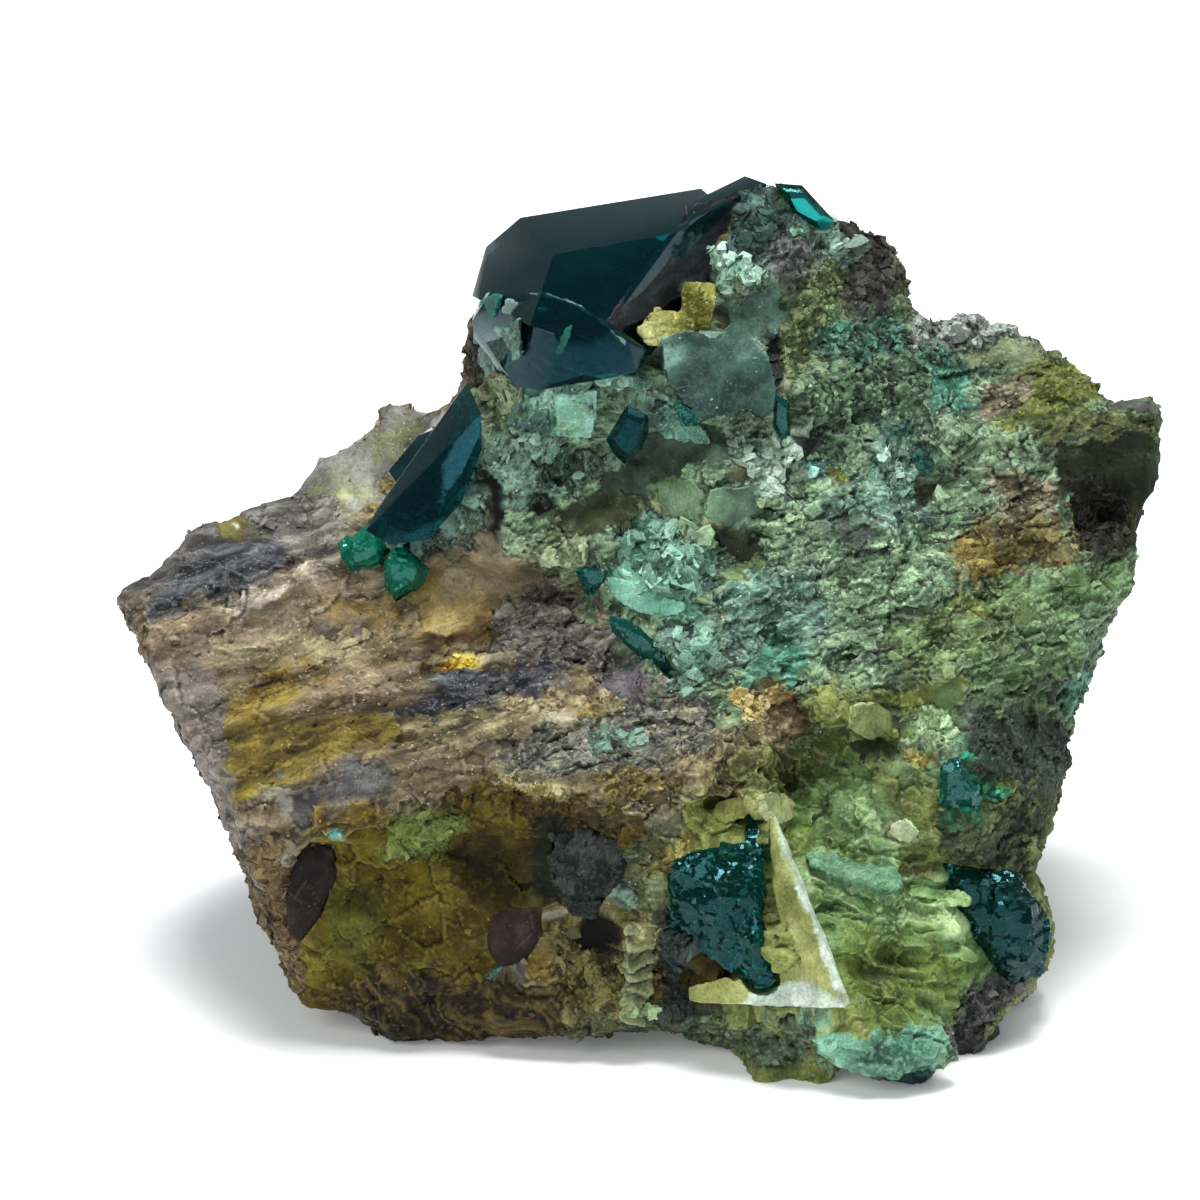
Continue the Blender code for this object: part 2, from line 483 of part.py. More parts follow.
def hull(bm, corners):
    """Adds the block that has these corners to the bmesh."""
    verts = [bm.verts.new(c) for c in corners]
    found = bmesh.ops.convex_hull(bm, input=verts)
    spare = found["geom_interior"] + found["geom_unused"]
    inner = {vert for vert in spare if isinstance(vert, bmesh.types.BMVert)}
    bmesh.ops.delete(bm, geom=list(inner), context="VERTS")


def hull_object(name, corners, home):
    bm = bmesh.new()
    hull(bm, corners)
    return object_from(bm, name, home)


def add_ball(bm, middle, halves):
    """Adds a ball that is squashed to these half sizes, as seen from the best side."""
    turn = Matrix((RIGHT, -TOWARDS, UPWARD)).transposed().to_4x4()
    place = Matrix.Translation(middle) @ turn @ Matrix.Diagonal((*halves, 1))
    bmesh.ops.create_icosphere(bm, subdivisions=3, radius=1, matrix=place)


def dent_object(name, middle, halves, home):
    bm = bmesh.new()
    add_ball(bm, middle, halves)
    return object_from(bm, name, home)


def facet_object(name, middle, faces, home):
    """The solid round the middle that these planes bound, each given by three of its points."""
    bm = bmesh.new()
    bmesh.ops.create_cube(bm, size=UNCUT_BLOCK, matrix=Matrix.Translation(middle))
    for first, second, third in faces:
        normal = (second - first).cross(third - first).normalized()
        if normal.dot(middle - first) > 0:
            normal = -normal
        cut = bmesh.ops.bisect_plane(
            bm, geom=everything(bm), plane_co=first, plane_no=normal, clear_outer=True
        )
        rim = [e for e in cut["geom_cut"] if isinstance(e, bmesh.types.BMEdge)]
        if rim:
            bmesh.ops.contextual_create(bm, geom=rim)
    return object_from(bm, name, home)


def inset_object(name, outline, front, proud, deep, home):
    """A crystal set in the surface: widest at its outline, with a smaller face in front and one behind."""
    middle = sum((Vector(corner) for corner in outline), Vector((0, 0))) / len(outline)
    bm = bmesh.new()
    corners = []
    for share, depth in ((1, front), (INSET_FACE, front - proud), (INSET_BACK, front + deep)):
        corners += [s(*middle.lerp(Vector(corner), share), depth) for corner in outline]
    hull(bm, corners)
    return object_from(bm, name, home)


def outline_cutter(home):
    """The space inside the rock's outline, widening away from the eye, as a solid to keep."""
    bm = bmesh.new()
    front = [bm.verts.new(s(across, up, VIEW_NEAR)) for across, up in OUTLINE]
    back = [bm.verts.new(s(across, up, VIEW_FAR)) for across, up in OUTLINE]
    bm.faces.new(front)
    bm.faces.new(back)
    for i in range(len(front)):
        bm.faces.new((front[i - 1], front[i], back[i], back[i - 1]))
    return object_from(bm, "outline", home)


def apply_modifiers(obj):
    """Swaps an object's mesh for the one that its modifiers make."""
    graph = bpy.context.evaluated_depsgraph_get()
    mesh = bpy.data.meshes.new_from_object(obj.evaluated_get(graph))
    obj.modifiers.clear()
    obj.data = mesh


def combine(obj, other, operation):
    step = obj.modifiers.new(operation.lower(), "BOOLEAN")
    step.operation = operation
    step.object = other
    apply_modifiers(obj)


def remesh(obj, voxel):
    step = obj.modifiers.new("remesh", "REMESH")
    step.mode = "VOXEL"
    step.voxel_size = voxel * MM
    apply_modifiers(obj)


def decimate(obj, triangles):
    obj.data.calc_loop_triangles()
    step = obj.modifiers.new("decimate", "DECIMATE")
    step.ratio = triangles / len(obj.data.loop_triangles)
    step.use_collapse_triangulate = True
    apply_modifiers(obj)


def chips(place, size, seed):
    """A value from -1 to 1 that is the same over each broken facet of about this size."""
    nearest = noise.voronoi(place / size + Vector((seed, 0, 0)))[1][0]
    return noise.cell(nearest * 7.3) * 2 - 1


def in_slab(place):
    """How much a point belongs to the layered slab on the left, from 0 to 1."""
    inside = SLAB_EDGE - place.x - SLAB_LEAN * max(0.0, place.z - SLAB_TOP)
    return min(1.0, max(0.0, inside / SLAB_FADE))


def facet_share(place):
    """How strongly the rock's facets show at a point, from 0 to 1."""
    share = 1 - SLAB_FACETS_LOST * in_slab(place)
    for middle, radius, least in CALM:
        reach = min(1.0, (place - middle).length / radius)
        share *= least + (1 - least) * reach * reach
    return share


def roughen(obj):
    """Breaks the smooth blocks into facets, lumps and, on the slab, layers."""
    normals = [vert.normal.copy() for vert in obj.data.vertices]
    for vert, normal in zip(obj.data.vertices, normals):
        place = vert.co / MM
        lumps = noise.fractal(place / LUMP_SIZE, 1.0, 2.0, 3)
        facets = chips(place, CHIP_SIZE, 0.0) + 0.5 * chips(place, CHIP_SIZE / 2, 9.0)
        layer = place.dot(BED_NORMAL) / BED_THICKNESS + BED_WAVE * noise.noise(place / BED_WAVE_LENGTH)
        tread = math.floor(layer) + min(1.0, (layer % 1.0) / BED_RISER) - layer
        slab = in_slab(place)
        step = LUMP_STEP * lumps + CHIP_STEP * facets * facet_share(place) + BED_STEP * tread * slab
        vert.co += normal * (SWELL + step) * MM


def cut_flat_below(obj):
    """Cuts the rock off level at the plane that it rests on."""
    bm = bmesh.new()
    bm.from_mesh(obj.data)
    cut = bmesh.ops.bisect_plane(
        bm, geom=everything(bm), plane_co=(0, 0, 0), plane_no=(0, 0, -1), clear_outer=True
    )
    rim = [e for e in cut["geom_cut"] if isinstance(e, bmesh.types.BMEdge)]
    bmesh.ops.triangle_fill(bm, edges=rim, use_beauty=True, normal=(0, 0, -1))
    bm.to_mesh(obj.data)
    bm.free()


def build_rock(home, cutters):
    bm = bmesh.new()
    for corners in BLOCKS.values():
        hull(bm, corners)
    for middle, halves in LUMPS:
        add_ball(bm, middle, halves)
    rock = object_from(bm, "host_rock", home)
    remesh(rock, ROCK_VOXEL)
    for name, corners in HOLLOWS.items():
        combine(rock, hull_object(name, corners, cutters), "DIFFERENCE")
    for name, (middle, halves) in DENTS.items():
        combine(rock, dent_object(name, middle, halves, cutters), "DIFFERENCE")
    remesh(rock, ROCK_VOXEL)
    roughen(rock)
    combine(rock, outline_cutter(cutters), "INTERSECT")
    remesh(rock, ROCK_VOXEL)
    decimate(rock, ROCK_TRIANGLES)
    return rock


def socket(piece, home):
    """The convex piece with a clearance all round it, to cut out of the rock."""
    corners = [vert.co / MM for vert in piece.data.vertices]
    steps = [way * side * SOCKET_CORNER for way in Matrix.Identity(3) for side in (1, -1)]
    return hull_object(piece.name + "_socket", [c + step for c in corners for step in steps], home)


def clearing(name, outline, front, home):
    """The space in front of an inset crystal, which the rock doesn't cover."""
    middle = sum((Vector(corner) for corner in outline), Vector((0, 0))) / len(outline)
    corners = []
    for share, depth in ((1, front + CLEARING_START), (CLEARING_SPREAD, front - CLEARING_DEPTH)):
        corners += [s(*middle.lerp(Vector(corner), share), depth) for corner in outline]
    return hull_object(name + "_clearing", corners, home)


def centre(nodes):
    """Moves all the nodes together, so that the box round them has its middle above the origin."""
    corners = [vert.co for node in nodes for vert in node.data.vertices]
    middle = Vector(((min(c[k] for c in corners) + max(c[k] for c in corners)) / 2 for k in range(2)))
    for node in nodes:
        node.data.transform(Matrix.Translation((-middle.x, -middle.y, 0)))


def near(one, other):
    """Whether the boxes round two objects' meshes overlap."""
    low, high = (Vector(one.bound_box[i]) for i in (0, 6))
    other_low, other_high = (Vector(other.bound_box[i]) for i in (0, 6))
    return all(low[k] < other_high[k] and other_low[k] < high[k] for k in range(3))


def crystal_pieces(home):
    """For each crystal, the convex pieces that it is joined from."""
    pieces = {
        "crown_dioptase": [
            facet_object("crown_main", CROWN_MIDDLE, CROWN_FACES, home),
            facet_object("crown_step", STEP_MIDDLE, STEP_FACES, home),
            hull_object("crown_foot", CROWN_FOOT, home),
        ]
    }
    for name, hulls in JOINED.items():
        pieces[name] = [hull_object(name + "_piece", corners, home) for corners in hulls]
    for name, (outline, front, proud, deep) in INSETS.items():
        pieces[name] = [inset_object(name + "_piece", outline, front, proud, deep, home)]
    return pieces


def main():
    for obj in list(bpy.data.objects):
        bpy.data.objects.remove(obj)
    specimen = collection("dioptase_specimen")
    cutters = collection("cutters", keep=False)
    rock = build_rock(specimen, cutters)
    rock.data.materials.append(material("stained rock", (0.30, 0.34, 0.20), 0.85))
    for name, (outline, front, proud, deep) in INSETS.items():
        combine(rock, clearing(name, outline, front, cutters), "DIFFERENCE")
    looks = {
        "dioptase": material("dioptase", TEAL, 0.1),
        "emerald": material("thin dioptase", EMERALD, 0.15),
        "lens": material("chalcocite", LENS_BROWN, 0.4),
        "ochre": material("ochre", OCHRE, 0.8),
        "plate": material("white plate", PLATE_WHITE, 0.6),
    }
    sockets = []
    for name, pieces in crystal_pieces(cutters).items():
        crystal = bpy.data.objects.new(name, pieces[0].data.copy())
        specimen.objects.link(crystal)
        for piece in pieces[1:]:
            combine(crystal, piece, "UNION")
        for taken in sockets:
            if near(crystal, taken):
                combine(crystal, taken, "DIFFERENCE")
        own = [socket(piece, cutters) for piece in pieces]
        for cut in own:
            combine(rock, cut, "DIFFERENCE")
        sockets += own
        kind = name.split("_")[-1] if name.split("_")[-1] in looks else name.split("_")[0]
        crystal.data.materials.clear()
        crystal.data.materials.append(looks[kind])
    decimate(rock, SOCKETED_TRIANGLES)
    cut_flat_below(rock)
    centre(specimen.objects)
    for cutter in cutters.objects:
        cutter.hide_render = True
        cutter.display_type = "WIRE"


main()
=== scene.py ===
"""The looks of a dioptase specimen: a copper-stained, broken rock with glassy teal crystals.

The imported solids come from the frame, in metres. Lengths in this script are in millimetres
until a mesh is made, and places on the best side are given as they are seen from the camera:
across from the middle of the specimen, and up from its lowest point.
"""

import math

import bpy
import numpy as np
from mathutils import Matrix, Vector
from mathutils.bvhtree import BVHTree


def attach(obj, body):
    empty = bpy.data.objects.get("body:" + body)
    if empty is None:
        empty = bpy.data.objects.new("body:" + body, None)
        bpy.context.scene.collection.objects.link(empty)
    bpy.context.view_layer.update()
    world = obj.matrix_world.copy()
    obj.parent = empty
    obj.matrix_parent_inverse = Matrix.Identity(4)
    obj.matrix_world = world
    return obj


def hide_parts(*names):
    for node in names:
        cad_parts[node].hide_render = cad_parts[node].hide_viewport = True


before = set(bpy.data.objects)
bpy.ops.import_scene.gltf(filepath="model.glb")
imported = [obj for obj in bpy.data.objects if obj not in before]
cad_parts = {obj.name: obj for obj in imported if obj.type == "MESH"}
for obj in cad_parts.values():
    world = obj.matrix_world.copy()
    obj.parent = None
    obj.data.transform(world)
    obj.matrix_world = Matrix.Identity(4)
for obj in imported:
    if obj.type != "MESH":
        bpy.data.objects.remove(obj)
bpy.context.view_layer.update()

MM = 0.001

# The camera, a long lens that looks down a little on the specimen.
VIEW_TILT = math.radians(22)
VIEW_DISTANCE = 500.0
VIEW_WIDTH = 60.0  # of the whole picture, at the specimen
SENSOR = 36.0
AIM = np.array((-2.1163, -0.6243, 19.4))  # the place in the middle of the picture
AIM_ACROSS = -2.0  # where that place is seen
AIM_UP = 24.35
RIGHT = np.array((1.0, 0.0, 0.0))
UPWARD = np.array((0.0, math.sin(VIEW_TILT), math.cos(VIEW_TILT)))
TOWARDS = np.array((0.0, -math.cos(VIEW_TILT), math.sin(VIEW_TILT)))
EYE = AIM + VIEW_DISTANCE * TOWARDS

# How finely the rock and the small pieces are made.
ROCK_VOXEL = 0.17
ROCK_TRIANGLES = 500000
PIECE_VOXEL = 0.13
STONE_LOWEST = 0.01  # above the floor
RUBBLE_LOWEST = 0.02
BACK_CUT = -0.12  # the rock's faces that look away from the viewer by this much are a piece apart
LOWER_CUT = 19.0  # so are those below this height as seen, so that no piece is too large

# The sheets of crust.
SHEET_STEP = 0.12  # between the vertices of a sheet
SHEET_RIM = 0.25  # how unevenly a sheet's rim is broken
SHEET_FOLLOW = 0.3  # a sheet follows this share of the bumps behind it
SHEET_REACH = 0.6  # of bumps up to this height

# How the rock is laid down and broken. A lean is how much something rises to the right, as seen.
BAND_LEAN = math.radians(16)
STREAK_LEAN = math.radians(17)
SLANT_LEAN = math.radians(38)
FIBRE_LEAN = math.radians(-58)
FOLD_LEAN = math.radians(-14)
RIB_HEIGHT = 0.8
RIB_LIP = 0.15  # the share of it that is the rib's lower rim
SCALY_AREA = [(-0.6, 27.9), (2.45, 28.1), (3.85, 26.7), (3.2, 24.65), (0.4, 24.4), (-1.15, 25.9)]
CHIP_SIZE = 0.85  # the most usual chips, whose edges also bound the patches of colour
CHIP_SEED = 94
CHIP_DRIFT = 0.8  # how far a chip takes the colour at its middle
PATCH_WANDER = 1.1  # how far a patch's edge wanders
LEAST_WEIGHT = 0.004  # a finish this thin is left out
EDGE_SHARP = 0.035  # an edge that stands out by this much gets the full painted highlight

# How the rock meets the crystals.
CRYSTALS = [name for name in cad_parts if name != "host_rock"]
SOCKET_COLOUR = "b4e0d6"  # chrysocolla behind and around the crystals
SNAP_FULL = 0.5  # rock this close to a crystal closes up against it
SNAP_END = 0.75
SNAP_DEPTH = 0.03
CALM_END = 0.9  # the rock's relief fades out over this distance from a crystal

# The light tent opens towards the viewer and up.
TENT_OPENING = (0.1, -0.92, 0.38)
TENT_BRIGHT = 0.32
TENT_DARK = 0.2
TENT_COLOUR = "e2f8ff"  # cool, so that dark crystals gleam slightly blue

# Each light's name, place, size in metres and power in watts. All of them shine at one place.
LIT_PLACE = (0, 0, 0.018)
LIGHTS = (
    ("top softbox", (0.0, -0.05, 0.55), 0.24, 4.2),
    ("left softbox", (-0.25, -0.35, 0.32), 0.3, 1.3),
    ("right softbox", (0.25, 0.05, 0.5), 0.3, 0.8),
)

# The finishes have the colours of the lit stone, so they are made darker and deeper here.
STONE_TONE = 0.68
STONE_DEPTH = 1.22

LATTICES = {}

# What the rock is made of. Each finish has its dark, middle and light colour, the pattern that
# mixes them and how strongly, the relief of its surface, how much it gleams (0 to 1), and how
# many light flecks lie on it.
FINISHES = {
    "lens": ("160b08", "2c1a16", "5a463e", "cloud", 1.7, "earthy", 0.25, 0.1),
    "ochre_cube": ("64642a", "a4a458", "d8d898", "cloud", 1.4, "blocky", 0.0, 0.1),
    "plate_sheet": ("66703c", "959a5e", "bec48a", "cloud", 1.3, "smooth", 0.3, 0.05),
    "plate_grey": ("3a6256", "629080", "9cc4b2", "cloud", 1.7, "chippy", 0.5, 0.1),
    "round_plate": ("2a4840", "52746a", "90b2a6", "cloud", 1.6, "smooth", 0.35, 0.15),
    "clear_flake": ("5a6c66", "88a098", "b8ccc6", "cloud", 1.0, "smooth", 0.7, 0.1),
    "pale_square": ("78b09e", "a8d8c4", "d2f0e2", "cloud", 1.2, "smooth", 0.5, 0.1),
    "pale_turquoise": ("62a892", "8ecab4", "bce4d4", "cloud", 1.2, "smooth", 0.5, 0.1),
    "green_glass": ("304630", "50704e", "80987a", "cloud", 1.2, "smooth", 0.7, 0.1),
    "grey_glass": ("324a36", "526e56", "80a082", "cloud", 1.2, "smooth", 0.7, 0.1),
    # Painted shade: a dark sheet under the jade plates, where shade falls.
    "painted_shade_under_plates": ("26281a", "3f4230", "5c6048", "cloud", 1.0, "smooth", 0.4, 0.0),
    # These two are lighter on the ridges of their folds and darker in the furrows: painted highlight and
    # shade.
    "tongue": ("345a3a", "507e5c", "80aa86", "folds", 1.3, "lumpy", 0.4, 0.0),
    "slope_ridge": ("6a8e50", "90b878", "bcdca0", "folds", 1.3, "lumpy", 0.4, 0.0),
    "lobe": ("868c5c", "a6b07c", "d0d8a8", "cloud", 1.2, "smooth", 0.4, 0.1),
    "lobe_dark": ("8a904c", "b8be74", "e0e4a8", "cloud", 1.2, "smooth", 0.3, 0.1),
    "beige_chip": ("9cb084", "ccdcae", "ecf4d8", "cloud", 1.1, "smooth", 0.4, 0.1),
    # Painted reflection: the dark grey of the crown's side face stands in for its sheen.
    "painted_grey_sheen": ("1a1e22", "2e343a", "565c62", "streaks", 1.3, "smooth", 0.4, 0.05),
    "plate_edge": ("9fb8a8", "c6d4c4", "e6eee4", "fine", 0.8, "smooth", 0.4, 0.2),
    # Light on each rib's lower rim and dark at its root: painted highlight and shade.
    "ribbed": ("444a30", "7a8260", "b0b48e", "ribs", 1.0, "ribbed", 0.2, 0.0),
    # Painted highlight: the thin light line along the edge of the crown's foot.
    "painted_rim_highlight": ("284644", "4c6c68", "80a49e", "fine", 1.2, "smooth", 0.4, 0.0),
    # Painted glint: bright teal where light shines through the crystals.
    "painted_teal_glint": ("064a42", "0c8070", "28a896", "cloud", 1.4, "smooth", 0.4, 0.0),
    "dark_crumbs": ("0c0f0e", "1e2220", "4c524e", "chips", 1.7, "chippy", 0.25, 0.2),
    "foot_crumble": ("2c5044", "669884", "b2d6c6", "chips", 1.5, "chippy", 0.4, 0.3),
    "quartz": ("66645c", "8e8d84", "b9b8ac", "cloud", 1.1, "smooth", 0.6, 0.1),
    "green_quartz": ("6b7048", "8f946c", "b4b88c", "cloud", 1.1, "smooth", 0.6, 0.1),
    "violet_quartz": ("444246", "66625f", "8e8a86", "bands", 1.3, "layered", 0.6, 0.2),
    "charcoal": ("131416", "333439", "808186", "bands", 1.9, "layered", 0.6, 0.6),
    "grey_streaks": ("46443f", "75726a", "a8a598", "bands", 1.5, "layered", 0.5, 0.4),
    "olive_spot": ("5c5527", "7f7640", "9a9158", "cloud", 0.9, "smooth", 0.3, 0.0),
    "chalk": ("a9a18d", "cfc6b0", "ece7d8", "fine", 0.8, "smooth", 0.2, 0.0),
    "chalk_green": ("8c9470", "b5bd92", "d6dcb6", "fine", 0.7, "smooth", 0.2, 0.0),
    "taupe": ("5a4c38", "8a7a62", "b4a488", "bands", 1.2, "layered", 0.5, 0.2),
    "cream": ("aca090", "d4cab8", "f0e8da", "bands", 1.2, "layered", 0.4, 0.2),
    "amber": ("483a18", "86703c", "b6a264", "cloud", 1.5, "smooth", 0.6, 0.0),
    "brown_peak": ("4a4030", "80725a", "aca084", "cloud", 1.4, "smooth", 0.5, 0.1),
    "umber": ("281d0c", "503e1c", "766234", "bands", 1.3, "layered", 0.3, 0.2),
    "pale_sand": ("6c6246", "968c6a", "bcb492", "bands", 1.2, "layered", 0.3, 0.4),
    "drab": ("40351f", "726446", "a4967a", "bands", 1.5, "layered", 0.4, 0.3),
    "ochre": ("564617", "8a7636", "b5a25a", "bands", 1.2, "layered", 0.2, 0.3),
    "mustard": ("463a18", "786a34", "a29248", "bands", 1.2, "layered", 0.2, 0.2),
    "yellow_line": ("74662a", "988848", "bcb070", "bands", 0.9, "layered", 0.2, 0.2),
    "slate_lens": ("2c2b2c", "484646", "76726f", "bands", 1.1, "smooth", 0.6, 0.1),
    "sulphur": ("9a7a20", "cdb02e", "e6de70", "fine", 1.2, "sugary", 0.3, 0.4),
    "rust_spot": ("8a5a1c", "b8842e", "d8b050", "fine", 1.0, "sugary", 0.3, 0.1),
    "dark_shale": ("24211f", "5c5852", "a0988c", "streaks", 1.5, "streaky", 0.5, 0.4),
    "violet_shale": ("3a373a", "6b666c", "938e92", "cloud", 1.0, "smooth", 0.5, 0.2),
    "sugared_tan": ("665636", "988664", "ccbf9a", "fine", 1.4, "sugary", 0.4, 0.5),
    "striped_grey": ("2a2d30", "686c64", "b2af98", "streaks", 1.7, "streaky", 0.5, 0.6),
    "pale_crumbs": ("5c582e", "a39a63", "d6cf9c", "chips", 1.3, "chippy", 0.3, 0.4),
    "rust": ("504220", "907e46", "bcb06a", "streaks", 1.2, "streaky", 0.3, 0.1),
    "tan": ("94804a", "c4ac6c", "e8d8a0", "cloud", 1.0, "chippy", 0.3, 0.2),
    "streaky_brown": ("403624", "7e7250", "c0b488", "slant", 1.6, "streaky", 0.4, 0.5),
    "side_brown": ("564c42", "827870", "aca298", "bands", 1.1, "layered", 0.4, 0.2),
    "tan_side": ("44341f", "685538", "8f7b58", "cloud", 1.1, "chippy", 0.3, 0.2),
    "olive_clay": ("3c3208", "645614", "827a36", "cloud", 1.5, "earthy", 0.05, 0.03),
    "olive_glaze": ("463c06", "625614", "847a3a", "cloud", 1.3, "earthy", 0.1, 0.03),
    "green_clay": ("343a10", "525220", "6e7036", "cloud", 1.3, "earthy", 0.05, 0.03),
    "brown_clay": ("221a02", "3c340c", "54481c", "cloud", 1.4, "earthy", 0.05, 0.03),
    "apple_green": ("465426", "667438", "90a05c", "cloud", 1.6, "chippy", 0.2, 0.1),
    "turquoise": ("2f7f74", "64b0a0", "b6e4d6", "fine", 1.3, "chippy", 0.4, 0.3),
    # Painted shade under the slab's overhanging lip.
    "painted_shade_under_lip": ("241904", "4e3e14", "70601e", "cloud", 1.1, "chippy", 0.2, 0.1),
    # Painted shadow beside the crown.
    "painted_shadow_by_crown": ("0e0e0c", "25251f", "3c3c30", "cloud", 1.0, "smooth", 0.2, 0.0),
    "teal_clay": ("10160e", "20281a", "343a2a", "cloud", 1.0, "earthy", 0.1, 0.1),
    "fibres": ("120c04", "35290f", "7a6a3e", "fibre", 1.7, "fibrous", 0.2, 0.1),
    # Painted shade: near black in a hole or crevice.
    "painted_hole_shade": ("030202", "060503", "0c0906", "cloud", 0.8, "smooth", 0.1, 0.0),
    "step_tan": ("342c10", "665b30", "98925e", "chips", 1.2, "chippy", 0.3, 0.2),
    "plate_cream": ("77754a", "a3a06c", "d0cf9c", "chips", 1.1, "blocky", 0.3, 0.1),
    "pale_plates": ("74946a", "a8c88e", "d4ecc0", "chips", 1.1, "chippy", 0.3, 0.1),
    "yellow_flakes": ("6e6428", "b0a44e", "dcd488", "chips", 1.2, "chippy", 0.3, 0.2),
    "foot_green": ("2a3424", "56684c", "8a9c7e", "streaks", 1.2, "streaky", 0.3, 0.2),
    "dark_slate": ("121918", "283230", "465450", "cloud", 1.2, "chippy", 0.5, 0.2),
    "curl_yellow": ("5b6428", "98a054", "c4ca86", "cloud", 1.2, "lumpy", 0.3, 0.1),
    "moss_slope": ("40481f", "70793f", "9fa766", "cloud", 1.2, "lumpy", 0.3, 0.1),
    "moss_yellow": ("3a4418", "6e7a36", "a0a45e", "streaks", 1.3, "streaky", 0.3, 0.3),
    "green_face": ("42562a", "6a8848", "98b67c", "cloud", 1.3, "lumpy", 0.35, 0.05),
    "face_mint": ("668e58", "9aba80", "cce4ae", "cloud", 1.3, "lumpy", 0.4, 0.05),
    "face_olive": ("46541f", "70843f", "9aae66", "cloud", 1.2, "lumpy", 0.3, 0.05),
    "bright_mint": ("689c74", "98c4a0", "c4e4c8", "cloud", 1.2, "lumpy", 0.45, 0.05),
    "foot_crust": ("3c7058", "649a80", "98ccb0", "cloud", 1.3, "lumpy", 0.45, 0.1),
    "foot_teal": ("042c26", "0e4a44", "2c6a60", "cloud", 1.3, "chippy", 0.5, 0.2),
    "gnarled": ("0e0e0e", "2e2c2d", "7c7a78", "chips", 1.6, "chippy", 0.6, 0.3),
    "slate_mass": ("1a2420", "364238", "5a6a5e", "cloud", 1.3, "chippy", 0.4, 0.15),
    "teal_stain": ("0a4e3a", "148c66", "3cc09c", "cloud", 1.2, "chippy", 0.4, 0.1),
    "underbrush": ("1c2218", "424e34", "6a7a54", "streaks", 1.2, "streaky", 0.3, 0.2),
    "teal_patch": ("205a48", "4e927a", "8ec6a8", "streaks", 1.3, "streaky", 0.4, 0.3),
    "jade": ("526e46", "728a58", "98ae80", "cloud", 0.8, "smooth", 0.45, 0.03),
    "jade_blue": ("6e967c", "96bc9c", "bcdcc0", "cloud", 0.8, "smooth", 0.45, 0.03),
    "jade_rim": ("8ea270", "b5c192", "d8e0ba", "fine", 0.8, "smooth", 0.4, 0.05),
    # Painted shade: dark olive under plates and crumbs.
    "painted_shade_olive": ("2b2f1d", "4d5138", "6c7050", "cloud", 1.0, "smooth", 0.2, 0.1),
    "lime_glaze": ("7a8c5a", "9cb47a", "c4d8a4", "cloud", 0.9, "smooth", 0.4, 0.05),
    "leaf": ("485e34", "70905e", "9cb68c", "streaks", 1.1, "streaky", 0.3, 0.15),
    "pale_leaf": ("36481f", "64804e", "a0b882", "streaks", 1.6, "streaky", 0.4, 0.5),
    "crest": ("0e221c", "2a4840", "5a7c72", "chips", 1.4, "chippy", 0.4, 0.3),
    "mint_crumbs": ("466e5c", "86b29a", "c8ead6", "chips", 1.3, "chippy", 0.4, 0.4),
    "pink_grey": ("282c2c", "505856", "909894", "streaks", 1.5, "streaky", 0.4, 0.4),
    "grey_plate": ("587c6a", "7ea090", "acccbe", "cloud", 1.1, "smooth", 0.45, 0.2),
    "mint_plate": ("42745f", "62967f", "88bda2", "cloud", 0.9, "smooth", 0.5, 0.05),
    "flaky_mint": ("244a3e", "5e8e78", "a4ccb8", "chips", 1.5, "chippy", 0.45, 0.4),
    "green_crumbs": ("1e2c26", "567464", "a0c2ae", "chips", 1.5, "chippy", 0.4, 0.4),
    "straw_crumbs": ("4e5a3a", "8a9a74", "ccdcb0", "chips", 1.4, "chippy", 0.3, 0.4),
    "dull_bulge": ("2a3a30", "415644", "5f7563", "cloud", 1.0, "smooth", 0.35, 0.1),
    "white_crumbs": ("2a3a32", "88aa92", "d6ecd8", "chips", 1.7, "chippy", 0.5, 0.6),
    "pebble": ("363620", "5a6044", "82886a", "cloud", 1.2, "smooth", 0.4, 0.2),
    "mint": ("548e76", "80ba9e", "a8dac2", "cloud", 0.9, "smooth", 0.45, 0.05),
    "blue_streaks": ("23403a", "5a8070", "a8ccb6", "slant", 1.6, "streaky", 0.45, 0.5),
    "grey_sea": ("2c3832", "506052", "7a8c78", "streaks", 1.2, "streaky", 0.4, 0.3),
    "olive_sugar": ("2c381c", "566840", "9cae7c", "sugar", 1.5, "sugary", 0.35, 0.4),
    "green_sugar": ("182a1c", "3a563c", "86a480", "sugar", 1.6, "sugary", 0.35, 0.4),
    "teal_sugar": ("143028", "335e4e", "70a08c", "sugar", 1.5, "sugary", 0.4, 0.4),
    "top_brown": ("26241e", "42423a", "62605a", "cloud", 1.2, "chippy", 0.3, 0.2),
    "salt_pepper": ("1e2422", "6a756e", "bcc4bc", "spots", 1.7, "chippy", 0.5, 0.6),
    "pale_olive": ("5e6c4c", "808c6c", "a6b08c", "streaks", 0.9, "smooth", 0.3, 0.1),
    "grey_skin": ("424240", "626258", "84847a", "cloud", 1.0, "smooth", 0.4, 0.1),
    "drab_streak": ("4a4634", "847c62", "b8b094", "streaks", 1.4, "streaky", 0.35, 0.4),
    "olive_brown": ("33381a", "5c6238", "868c5a", "streaks", 1.2, "streaky", 0.3, 0.2),
    "dark_olive": ("12180c", "2c341e", "484e30", "cloud", 1.2, "smooth", 0.1, 0.1),
    "smoky": ("12100e", "2a2822", "464438", "cloud", 1.3, "chippy", 0.2, 0.15),
    "ochre_streak": ("3a3018", "6c6238", "a09464", "streaks", 1.4, "streaky", 0.3, 0.3),
    "shadow_olive": ("171a0d", "363a22", "575c3c", "cloud", 1.0, "smooth", 0.2, 0.05),
    "sea_green": ("2e4235", "6e8c6e", "b8d4ac", "streaks", 1.5, "streaky", 0.4, 0.5),
    "plain_brown": ("3a3024", "655a48", "93886f", "cloud", 1.3, "chippy", 0.3, 0.2),
}


def oval(across, up, half_width, half_height):
    """The corners of an oval, as seen."""
    turns = [k * math.tau / 12 for k in range(12)]
    return [(across + half_width * math.cos(a), up + half_height * math.sin(a)) for a in turns]
